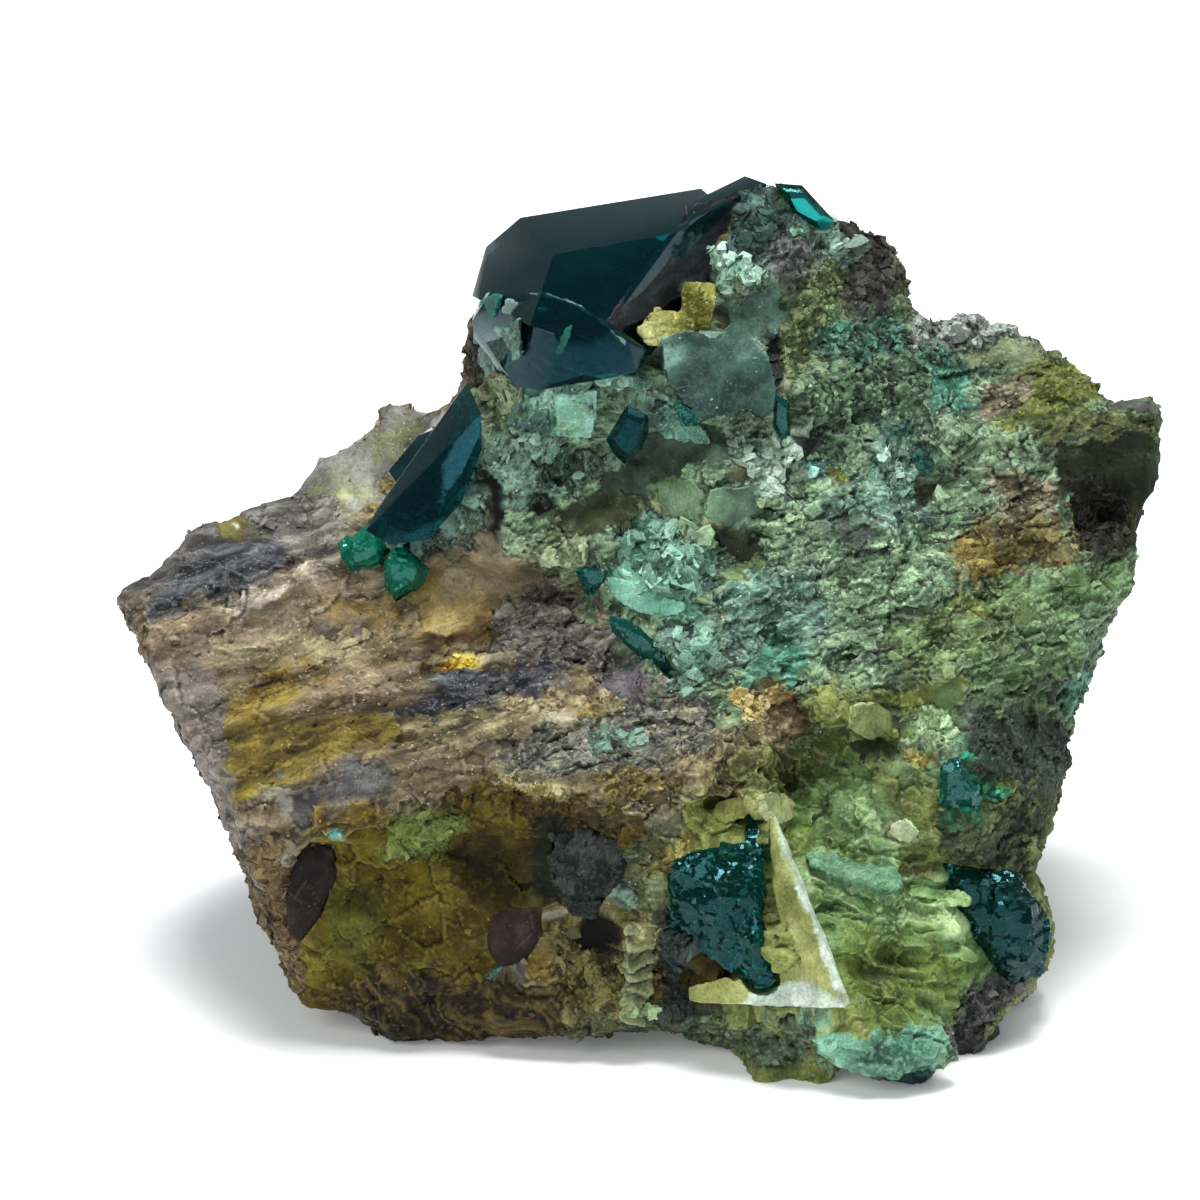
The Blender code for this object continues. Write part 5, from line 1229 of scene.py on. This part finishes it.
def build_rock(trees):
    """The whole rock as one mesh, painted, broken up and closed up against the crystals."""
    rock = merged_copy("host_rock", "stained_rock")
    points, normals = remeshed(rock, ROCK_VOXEL, soften=4)
    colour, fleck, traits, relief = paint(points, normals, back_finish(points), PATCHES)
    gap = gaps(points, trees)
    socket = smoothstep(0.18, 0.04, gap)[:, None]
    colour += socket * (np.array(linear(SOCKET_COLOUR)) - colour)
    calm = smoothstep(0.1, CALM_END, gap)
    points = points + normals * (calm * relief_height(points, relief))[:, None]
    finish_stone(rock, close_up(points, trees), colour, fleck, traits, relief)
    mesh = rock.data
    hidden = rock.vertex_groups.new(name="hidden")
    away = smoothstep(-0.1, -0.3, normals @ TOWARDS)
    for level in range(1, 5):
        chosen = np.nonzero(np.round(away * 4) == level)[0]
        hidden.add(chosen.tolist(), level / 4, "REPLACE")
    mesh.calc_loop_triangles()
    step = rock.modifiers.new("lighten", "DECIMATE")
    step.vertex_group = "hidden"
    step.vertex_group_factor = 1.0
    step.ratio = ROCK_TRIANGLES / len(mesh.loop_triangles)
    step.use_collapse_triangulate = True
    apply_modifiers(rock)
    shade(rock, degrees=38)
    return rock


def read_colours(mesh, name):
    values = np.empty(len(mesh.vertices) * 4, np.float32)
    mesh.attributes[name].data.foreach_get("color", values)
    return values.reshape(-1, 4)


def flake_shape(sides, thickness, roughness, seed):
    """A broken flake with a few sides, one unit across, lying flat."""
    unselect()
    bpy.ops.mesh.primitive_cylinder_add(
        vertices=sides, radius=0.5, depth=thickness, end_fill_type="TRIFAN",
    )
    obj = bpy.context.object
    bpy.ops.object.mode_set(mode="EDIT")
    bpy.ops.mesh.select_all(action="SELECT")
    bpy.ops.transform.vertex_random(offset=roughness, uniform=0.6, normal=0.1, seed=seed)
    bpy.ops.mesh.quads_convert_to_tris()
    bpy.ops.object.mode_set(mode="OBJECT")
    return take_shape(obj)


def crumb_shape(roughness, seed):
    """An angular crumb, one unit across."""
    unselect()
    bpy.ops.mesh.primitive_ico_sphere_add(subdivisions=1, radius=0.5)
    obj = bpy.context.object
    bpy.ops.object.mode_set(mode="EDIT")
    bpy.ops.mesh.select_all(action="SELECT")
    bpy.ops.transform.vertex_random(offset=roughness, uniform=0.8, normal=0.2, seed=seed)
    bpy.ops.object.mode_set(mode="OBJECT")
    return take_shape(obj)


def take_shape(obj):
    """The corners and faces of an object, which is then deleted."""
    points = coordinates(obj.data)
    faces = np.array([tuple(face.vertices) for face in obj.data.polygons])
    bpy.data.objects.remove(obj)
    return points, faces


def outward_mesh(name, points, faces):
    """A new object of these points in millimetres, above the floor, with its faces outward."""
    points[:, 2] = np.maximum(points[:, 2], RUBBLE_LOWEST)
    mesh = bpy.data.meshes.new(name)
    mesh.from_pydata(points * MM, [], faces.tolist())
    obj = linked(name, mesh)
    pick(obj)
    bpy.ops.object.mode_set(mode="EDIT")
    bpy.ops.mesh.select_all(action="SELECT")
    bpy.ops.mesh.normals_make_consistent(inside=False)
    bpy.ops.object.mode_set(mode="OBJECT")
    return obj


def scatter(name, shapes, rock, density, count, sizes, tilt, sink, seed, look):
    """Lays copies of the shapes over the rock, as thick as its density, joined in one piece."""
    rng = np.random.default_rng(seed)
    mesh = rock.data
    places, normals = coordinates(mesh) / MM, vertex_normals(mesh)
    colours, flecks, breaks = (read_colours(mesh, kind) for kind in ("stone", "fleck", "break"))
    picks = rng.choice(len(places), count, replace=False, p=density / density.sum())
    lean = normals[picks] + tilt * rng.normal(size=(count, 3))
    lean /= np.linalg.norm(lean, axis=1)[:, None]
    side = np.cross(lean, rng.normal(size=(count, 3)))
    side /= np.linalg.norm(side, axis=1)[:, None]
    size = sizes[0] + (sizes[1] - sizes[0]) * rng.random(count) ** 2.2
    stretch = 1 + 0.8 * rng.random(count)
    kinds = rng.integers(len(shapes), size=count)
    shine = rng.random(count)
    points, faces, owners = [], [], []
    total = 0
    for k, at in enumerate(picks):
        corners, sides = shapes[kinds[k]]
        turned = np.stack([side[k] * stretch[k], np.cross(lean[k], side[k]), lean[k]])
        points.append(places[at] - sink * size[k] * normals[at] + size[k] * corners @ turned)
        faces.append(sides + total)
        owners.append(np.full(len(corners), k))
        total += len(corners)
    owners = np.concatenate(owners)
    obj = outward_mesh(name, np.concatenate(points), np.concatenate(faces))
    own = colours[picks, :3] * (0.75 + 0.5 * shine)[:, None]
    own += (0.4 * smoothstep(0.7, 1.0, shine))[:, None] * (flecks[picks, :3] - own)
    store(obj.data, "stone", own[owners], colours[picks, 3][owners])
    store(obj.data, "fleck", flecks[picks, :3][owners], 0.5 * flecks[picks, 3][owners])
    store(obj.data, "break", 0.5 * breaks[picks, :3][owners], np.ones(len(owners)))
    obj.data.materials.append(look)
    return obj


def rubble(rock, look):
    """The flakes and crumbs that cling all over the broken rock."""
    mesh = rock.data
    breaks = read_colours(mesh, "break")
    normals = vertex_normals(mesh)
    front = 0.35 + 0.65 * smoothstep(-0.3, 0.1, normals @ TOWARDS)
    upward = 0.5 + 0.5 * smoothstep(-0.6, 0.5, normals[:, 2])
    places = coordinates(mesh) / MM
    patchy = smoothstep(0.4, 0.8, clouds(places, 2.2, 130, 4))
    flaky = (0.004 + smoothstep(0.5, 1.0, breaks[:, 0])) * front * upward * (0.05 + patchy)
    crumbly = (0.01 + breaks[:, 1] ** 2) * front * upward * (1.05 - patchy)
    across, up, _ = seen(places)
    scaly = inside_share(across, up, SCALY_AREA, 0.3) * smoothstep(0.1, 0.5, normals @ TOWARDS)
    flakes = [flake_shape(5 + k % 3, 0.14 + 0.04 * (k % 3), 0.16, k) for k in range(8)]
    scales = [flake_shape(4 + k % 3, 0.09, 0.12, 40 + k) for k in range(6)]
    crumbs = [crumb_shape(0.28, 20 + k) for k in range(8)]
    return [
        scatter("clinging_flakes", flakes, rock, flaky, 4200, (0.2, 0.8), 0.3, 0.06, 140, look),
        scatter("clinging_crumbs", crumbs, rock, crumbly, 6000, (0.1, 0.34), 0.5, 0.12, 141, look),
        scatter("turquoise_scales", scales, rock, scaly, 210, (0.5, 1.2), 0.16, -0.03, 142, look),
    ]


def on_surface(surfaces, across, up):
    """Where the line of sight through a place as seen first meets a surface, in millimetres."""
    through = AIM + (across - AIM_ACROSS) * RIGHT + (up - AIM_UP) * UPWARD
    sight = Vector(through - EYE).normalized()
    hits = [tree.ray_cast(Vector(EYE * MM), sight) for tree in surfaces]
    hits = [hit for hit in hits if hit[0] is not None]
    if not hits:
        return None
    return np.array(min(hits, key=lambda hit: hit[3])[0]) / MM


def sheet_grid(lift, corners):
    """An even grid of places, moved about a little, over an outline, and which of them are inside."""
    low, high = np.min(corners, axis=0), np.max(corners, axis=0)
    columns, rows = (np.ceil((high - low) / SHEET_STEP).astype(int) + 1)
    x, y = np.meshgrid(low[0] + SHEET_STEP * np.arange(columns), low[1] + SHEET_STEP * np.arange(rows))
    x, y = x.ravel(), y.ravel()
    place = np.stack([x, y, np.full(len(x), 3.0 * lift)], axis=1)
    x = x + SHEET_RIM * (clouds(place, 0.8, 150, 3) - 0.5)
    y = y + SHEET_RIM * (clouds(place, 0.8, 151, 3) - 0.5)
    inside = inside_share(x, y, corners, 0.02) > 0.5
    return x, y, inside, columns


def stood_off(x, y, inside, lift, surfaces):
    """Where a nearly flat sheet lies that stands this far in front of the surfaces behind it."""
    hits = [on_surface(surfaces, a, b) if good else None for a, b, good in zip(x, y, inside)]
    known = np.array([hit is not None for hit in hits]) & inside
    found = np.array([hit for hit, good in zip(hits, known) if good])
    depth = found @ TOWARDS
    slope = np.stack([np.ones(len(depth)), x[known], y[known]], axis=1)
    level = np.linalg.lstsq(slope, depth, rcond=None)[0]
    flat = level[0] + level[1] * x + level[2] * y
    near = np.full(len(x), -1e9)
    near[known] = depth
    follow = np.clip(near - flat, -SHEET_REACH, SHEET_REACH)
    stand = np.where(known, SHEET_FOLLOW * follow, 0) + flat + lift
    through = AIM + np.outer(x - AIM_ACROSS, RIGHT) + np.outer(y - AIM_UP, UPWARD)
    share = (VIEW_DISTANCE - (stand - AIM @ TOWARDS)) / VIEW_DISTANCE
    return EYE + (through - EYE) * share[:, None]


def grid_faces(inside, columns):
    """The squares of a grid that have all their corners inside, by the number of each corner."""
    number = np.full(len(inside), -1)
    number[inside] = np.arange(inside.sum())
    faces = []
    for row in range(len(inside) // columns - 1):
        for column in range(columns - 1):
            first = row * columns + column
            face = number[[first, first + 1, first + columns + 1, first + columns]]
            if face.min() >= 0:
                faces.append(face.tolist())
    return faces


def stone_look(obj, finish, patches, amount, degrees, look):
    """Roughens and paints a piece as the rock is."""
    points, normals = coordinates(obj.data) / MM, vertex_normals(obj.data)
    colour, fleck, traits, relief = paint(points, normals, [(finish, np.ones(len(points)))], patches)
    points = points + normals * (amount * relief_height(points, relief))[:, None]
    finish_stone(obj, points, colour, fleck, traits, relief)
    shade(obj, degrees)
    obj.data.materials.append(look)


def crust_sheet(name, finish, lift, thickness, corners, surfaces, look):
    """A thin plate with a broken rim, nearly flat, that stands on the surface behind it."""
    x, y, inside, columns = sheet_grid(lift, corners)
    points = stood_off(x, y, inside, lift, surfaces)
    mesh = bpy.data.meshes.new(name)
    mesh.from_pydata(points[inside] * MM, [], grid_faces(inside, columns))
    obj = linked(name, mesh)
    step = obj.modifiers.new("soften", "SMOOTH")
    step.factor = 0.5
    step.iterations = 4
    step = obj.modifiers.new("thickness", "SOLIDIFY")
    step.thickness = thickness * MM
    step.offset = -1
    step = obj.modifiers.new("broken rim", "BEVEL")
    step.width = 0.06 * MM
    step.limit_method = "ANGLE"
    apply_modifiers(obj)
    stone_look(obj, finish, [], amount=0.5, degrees=30, look=look)
    return obj


def stone_piece(node, finish, patches, amount, soften, look):
    """A piece of duller mineral that is remeshed, roughened and painted as the rock is."""
    obj = merged_copy(node, node + "_look")
    remeshed(obj, PIECE_VOXEL, soften)
    stone_look(obj, finish, patches, amount, degrees=35, look=look)
    return obj


def rough_crystal(node, amount, look):
    """A crystal with no whole face left: it is broken into small bright facets all over."""
    obj = merged_copy(node, node + "_look")
    points, normals = remeshed(obj, PIECE_VOXEL, soften=1)
    height = 0.4 * facets(points, 1.9, 110) + 0.26 * facets(points, 0.9, 111)
    height = height + 0.05 * facets(points, 0.4, 112)
    points = points + normals * (amount * height)[:, None]
    obj.data.vertices.foreach_set("co", (points * MM).ravel())
    obj.data.update()
    shade(obj, degrees=14)
    obj.data.materials.append(look)
    return obj


def material(name):
    made = bpy.data.materials.new(name)
    made.use_nodes = True
    made.node_tree.nodes.clear()
    return made


def add_node(tree, kind, inputs=(), **settings):
    """Adds a node, with its settings, and its inputs as values or as other nodes' outputs."""
    node = tree.nodes.new(kind)
    for name, value in settings.items():
        setattr(node, name, value)
    for name, value in dict(inputs).items():
        if isinstance(value, bpy.types.NodeSocket):
            tree.links.new(value, node.inputs[name])
        else:
            node.inputs[name].default_value = value
    return node


def broken_height(tree, place, size):
    """A height that tilts on each broken grain, in metres, with random values for the grain."""
    cells = add_node(tree, "ShaderNodeTexVoronoi", {"Vector": place, "Scale": 1 / (size * MM)})
    away = add_node(tree, "ShaderNodeVectorMath", {
        0: place, 1: cells.outputs["Position"],
    }, operation="SUBTRACT")
    tilt = add_node(tree, "ShaderNodeVectorMath", {
        0: cells.outputs["Color"], 1: (0.5, 0.5, 0.5),
    }, operation="SUBTRACT")
    height = add_node(tree, "ShaderNodeVectorMath", {
        0: away.outputs["Vector"], 1: tilt.outputs["Vector"],
    }, operation="DOT_PRODUCT")
    return height.outputs["Value"], cells.outputs["Color"]


def calculate(tree, operation, first, second=0.0):
    return add_node(tree, "ShaderNodeMath", {0: first, 1: second}, operation=operation).outputs["Value"]


def remap(tree, value, low, high, low_result, high_result):
    """Takes a value from one range to another, and no further."""
    return add_node(tree, "ShaderNodeMapRange", {
        "Value": value, "From Min": low, "From Max": high, "To Min": low_result, "To Max": high_result,
    }).outputs["Result"]


def ledges(tree, place, size, steps):
    """Thin ledges, as flaky stone breaks: height in steps, rims for a painted highlight, creases for
    painted shade and the noise they follow.
    """
    swell = add_node(tree, "ShaderNodeTexNoise", {
        "Vector": place, "Scale": 1 / (size * MM), "Detail": 4.0, "Roughness": 0.66,
    })
    level = calculate(tree, "MULTIPLY", swell.outputs["Fac"], steps)
    part = calculate(tree, "FRACT", level)
    riser = remap(tree, part, 0.0, 0.16, 0.0, 1.0)
    height = calculate(tree, "ADD", calculate(tree, "FLOOR", level), riser)
    # The rim just above each riser gets a painted highlight, and the crease just below it gets painted
    # shade.
    rim = remap(tree, part, 0.4, 0.16, 0.0, 1.0)
    crease_shade = remap(tree, part, 0.72, 0.98, 0.0, 1.0)
    return height, rim, crease_shade, swell.outputs["Color"]


def stone_breaks(tree, place, flaky, gritty, bedded):
    """The height of the stone's fine breaks, the rims of its ledges for a painted highlight, and its
    tone, with painted shade in the creases.
    """
    # Ledges up to 0.11 mm high, tilted flakes of 1.2 by 0.7 mm that lie along the beds, and grit of
    # 0.28 mm. A broad noise moves the flakes and the grit about, so that their edges are ragged.
    chip, rim, crease_shade, wander = ledges(tree, place, size=2.1, steps=9.0)
    ragged = add_node(tree, "ShaderNodeVectorMath", {
        0: wander, 1: (0.7 * MM, 0.7 * MM, 0.7 * MM), 2: place,
    }, operation="MULTIPLY_ADD").outputs["Vector"]
    along = add_node(tree, "ShaderNodeMapping", {
        "Vector": ragged, "Rotation": (0.0, STREAK_LEAN, 0.0), "Scale": (0.42, 0.7, 1.5),
    }, vector_type="POINT").outputs["Vector"]
    bed, bed_tone = broken_height(tree, along, 0.5)
    grit, grit_tone = broken_height(tree, ragged, 0.28)
    high = calculate(tree, "MULTIPLY", chip, calculate(tree, "MULTIPLY", flaky, 0.11))
    bed = calculate(tree, "MULTIPLY", bed, calculate(tree, "MULTIPLY", bedded, 1.5 / MM))
    grit = calculate(tree, "MULTIPLY", grit, calculate(tree, "MULTIPLY", gritty, 0.7 / MM))
    high = calculate(tree, "ADD", high, calculate(tree, "ADD", bed, grit))
    # Painted shade in the crease under each ledge.
    tone = remap(tree, calculate(tree, "MULTIPLY", crease_shade, flaky), 0.0, 1.0, 1.0, 0.4)
    for strength, own_tone in ((gritty, grit_tone), (bedded, bed_tone)):
        own = add_node(tree, "ShaderNodeSeparateColor", {"Color": own_tone}).outputs["Green"]
        own = add_node(tree, "ShaderNodeMix", {
            "Factor": strength, "A": 1.0, "B": remap(tree, own, 0.0, 1.0, 0.66, 1.32),
        }).outputs["Result"]
        tone = calculate(tree, "MULTIPLY", tone, own)
    return high, calculate(tree, "MULTIPLY", rim, flaky), tone


def stained_rock():
    """Copper-stained quartz rock, freshly broken: dull, flaky in thin ledges, with glints of quartz."""
    made = material("copper-stained quartz rock")
    tree = made.node_tree
    place = add_node(tree, "ShaderNodeTexCoord").outputs["Object"]
    stone, fleck, kind = (
        add_node(tree, "ShaderNodeAttribute", attribute_name=name) for name in ("stone", "fleck", "break")
    )
    shares = add_node(tree, "ShaderNodeSeparateColor", {"Color": kind.outputs["Color"]})
    flaky, gritty, bedded = (shares.outputs[name] for name in ("Red", "Green", "Blue"))
    high, rim, tone = stone_breaks(tree, place, flaky, gritty, bedded)
    # Grains of about 0.15 mm darken and lighten the stone.
    grain = add_node(tree, "ShaderNodeTexNoise", {
        "Vector": place, "Scale": 1 / (0.15 * MM), "Detail": 2.0, "Roughness": 0.7,
    })
    tone = calculate(tree, "MULTIPLY", tone, remap(tree, grain.outputs["Fac"], 0.3, 0.7, 0.72, 1.26))
    toned = add_node(tree, "ShaderNodeVectorMath", {
        0: stone.outputs["Color"], 3: tone,
    }, operation="SCALE")
    # Painted highlight: the ledges' rims are lightened towards the fleck colour.
    lit = add_node(tree, "ShaderNodeMix", {
        "Factor": calculate(tree, "MULTIPLY", rim, 0.3),
        6: toned.outputs["Vector"], 7: fleck.outputs["Color"],
    }, data_type="RGBA")
    # Angular flecks of 0.09 mm show the light mineral where it is fresh.
    specks = add_node(tree, "ShaderNodeTexVoronoi", {"Vector": place, "Scale": 1 / (0.09 * MM)})
    speck = add_node(tree, "ShaderNodeSeparateColor", {"Color": specks.outputs["Color"]})
    chance = calculate(tree, "MULTIPLY", fleck.outputs["Alpha"], 0.025)
    amount = calculate(tree, "LESS_THAN", speck.outputs["Blue"], chance)
    mixed = add_node(tree, "ShaderNodeMix", {
        "Factor": calculate(tree, "MULTIPLY", amount, 0.6), 6: lit.outputs[2], 7: fleck.outputs["Color"],
    }, data_type="RGBA")
    relief = add_node(tree, "ShaderNodeBump", {"Strength": 1.0, "Distance": 1.0 * MM, "Height": high})
    shader = add_node(tree, "ShaderNodeBsdfPrincipled", {
        "Base Color": mixed.outputs[2], "Normal": relief.outputs["Normal"], "IOR": 1.5,
        "Roughness": remap(tree, stone.outputs["Alpha"], 0.0, 1.0, 0.85, 0.25),
        "Specular IOR Level": remap(tree, stone.outputs["Alpha"], 0.0, 1.0, 0.1, 0.5),
    })
    add_node(tree, "ShaderNodeOutputMaterial", {"Surface": shader.outputs["BSDF"]})
    return made


def clear_crystal(name, colour, density, sheen, roughness, body, clearness):
    """Dioptase: see-through where it is thin and nearly black where it is thick."""
    made = material(name)
    tree = made.node_tree
    place = add_node(tree, "ShaderNodeTexCoord").outputs["Object"]
    wave = add_node(tree, "ShaderNodeTexNoise", {
        "Vector": place, "Scale": 1 / (0.8 * MM), "Detail": 5.0, "Roughness": 0.6,
    })
    relief = add_node(tree, "ShaderNodeBump", {
        "Strength": 0.25, "Distance": 0.05 * MM, "Height": wave.outputs["Fac"],
    })
    shader = add_node(tree, "ShaderNodeBsdfPrincipled", {
        "Base Color": (*linear(body), 1), "Roughness": roughness, "IOR": DIOPTASE_IOR,
        "Transmission Weight": clearness, "Specular Tint": (*linear(sheen), 1),
        "Normal": relief.outputs["Normal"],
    })
    depth = add_node(tree, "ShaderNodeVolumeAbsorption", {
        "Color": (*linear(colour), 1), "Density": density,
    })
    add_node(tree, "ShaderNodeOutputMaterial", {
        "Surface": shader.outputs["BSDF"], "Volume": depth.outputs["Volume"],
    })
    return made


def cut_crystal(node, edge, look):
    """A crystal with its edges taken off a little, as growth and wear leave them."""
    obj = merged_copy(node, node + "_look")
    step = obj.modifiers.new("worn edges", "BEVEL")
    step.width = edge * MM
    step.segments = 2
    step.limit_method = "ANGLE"
    step.angle_limit = math.radians(18)
    apply_modifiers(obj)
    shade(obj, degrees=30)
    obj.data.materials.append(look)
    return obj


def surround():
    """White to the eye, and lit as a light tent is: bright above and behind, dark on the near side."""
    world = bpy.data.worlds.new("light tent")
    bpy.context.scene.world = world
    world.use_nodes = True
    tree = world.node_tree
    tree.nodes.clear()
    place = add_node(tree, "ShaderNodeTexCoord").outputs["Generated"]
    side = add_node(tree, "ShaderNodeVectorMath", {0: place, 1: TENT_OPENING}, operation="DOT_PRODUCT")
    bright = remap(tree, side.outputs["Value"], -0.05, 0.55, TENT_BRIGHT, TENT_DARK)
    eye = add_node(tree, "ShaderNodeLightPath")
    strength = add_node(tree, "ShaderNodeMix", {
        "Factor": eye.outputs["Is Camera Ray"], "A": bright, "B": 1.0,
    })
    colour = add_node(tree, "ShaderNodeMix", {
        "Factor": eye.outputs["Is Camera Ray"], 6: (*linear(TENT_COLOUR), 1), 7: (1, 1, 1, 1),
    }, data_type="RGBA")
    glow = add_node(tree, "ShaderNodeBackground", {
        "Color": colour.outputs[2], "Strength": strength.outputs["Result"],
    })
    add_node(tree, "ShaderNodeOutputWorld", {"Surface": glow.outputs["Background"]})


def studio():
    """A pale floor in a light tent with soft lights."""
    surround()
    unselect()
    bpy.ops.mesh.primitive_plane_add(size=3.0, location=(0, 0, 0))
    floor = bpy.context.object
    floor.name = "floor"
    look = material("white paper floor")
    shader = add_node(look.node_tree, "ShaderNodeBsdfPrincipled", {
        "Base Color": (0.93, 0.93, 0.93, 1), "Roughness": 0.9,
        "Emission Color": (1, 1, 1, 1), "Emission Strength": 0.1,
    })
    add_node(look.node_tree, "ShaderNodeOutputMaterial", {"Surface": shader.outputs["BSDF"]})
    floor.data.materials.append(look)
    for name, place, size, power in LIGHTS:
        light = bpy.data.lights.new(name, "AREA")
        light.size = size
        light.energy = power
        lamp = linked(name, light)
        lamp.location = place
        lamp.rotation_euler = (Vector(LIT_PLACE) - Vector(place)).to_track_quat("-Z", "Y").to_euler()
    bpy.context.scene.view_settings.view_transform = "Standard"


def camera():
    """A long lens that sees the specimen's best side."""
    lens = bpy.data.cameras.new("long lens")
    lens.sensor_width = SENSOR
    lens.lens = SENSOR * VIEW_DISTANCE / VIEW_WIDTH
    lens.clip_start = 0.01
    stand = linked("camera", lens)
    stand.location = Vector(EYE * MM)
    stand.rotation_euler = Vector(-TOWARDS).to_track_quat("-Z", "Y").to_euler()
    bpy.context.scene.camera = stand


def rock_pieces(stone, trees):
    """The rock with all that clings to it, in pieces that are not too large."""
    rock = build_rock(trees)
    rock.data.materials.append(stone)
    pieces = rubble(rock, stone)
    surfaces = [BVHTree.FromObject(rock, bpy.context.evaluated_depsgraph_get())]
    surfaces += [tree for tree, _, _ in trees]
    for name, finish, lift, thickness, corners in SHEETS:
        pieces.append(crust_sheet(name, finish, lift, thickness, corners, surfaces, stone))
    normals = np.empty(len(rock.data.polygons) * 3, np.float32)
    rock.data.polygons.foreach_get("normal", normals)
    facing = normals.reshape(-1, 3) @ TOWARDS
    back = split_off(rock, facing < BACK_CUT, "hidden_rock")
    up = seen(face_centres(rock.data))[1]
    lower = split_off(rock, up < LOWER_CUT, "lower_rock")
    return pieces + [rock, back, lower]


def small_piece(node, stone, dioptases):
    """The look of one crystal, lens, crust or plate in the rock."""
    if node in DULL_PIECES:
        return stone_piece(node, *DULL_PIECES[node], stone)
    if node in BROKEN_CRYSTALS:
        kind, roughness = BROKEN_CRYSTALS[node]
        return rough_crystal(node, roughness, dioptases[kind])
    kind, edge = WHOLE_CRYSTALS[node]
    return cut_crystal(node, edge, dioptases[kind])


def main():
    unselect()
    camera()
    studio()
    stone = stained_rock()
    for piece in rock_pieces(stone, crystal_trees()):
        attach(piece, "root")
        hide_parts("host_rock")
    dioptases = {kind: clear_crystal(kind, *values) for kind, values in DIOPTASES.items()}
    for node in CRYSTALS:
        piece = small_piece(node, stone, dioptases)
        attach(piece, "root")
        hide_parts(node)


main()
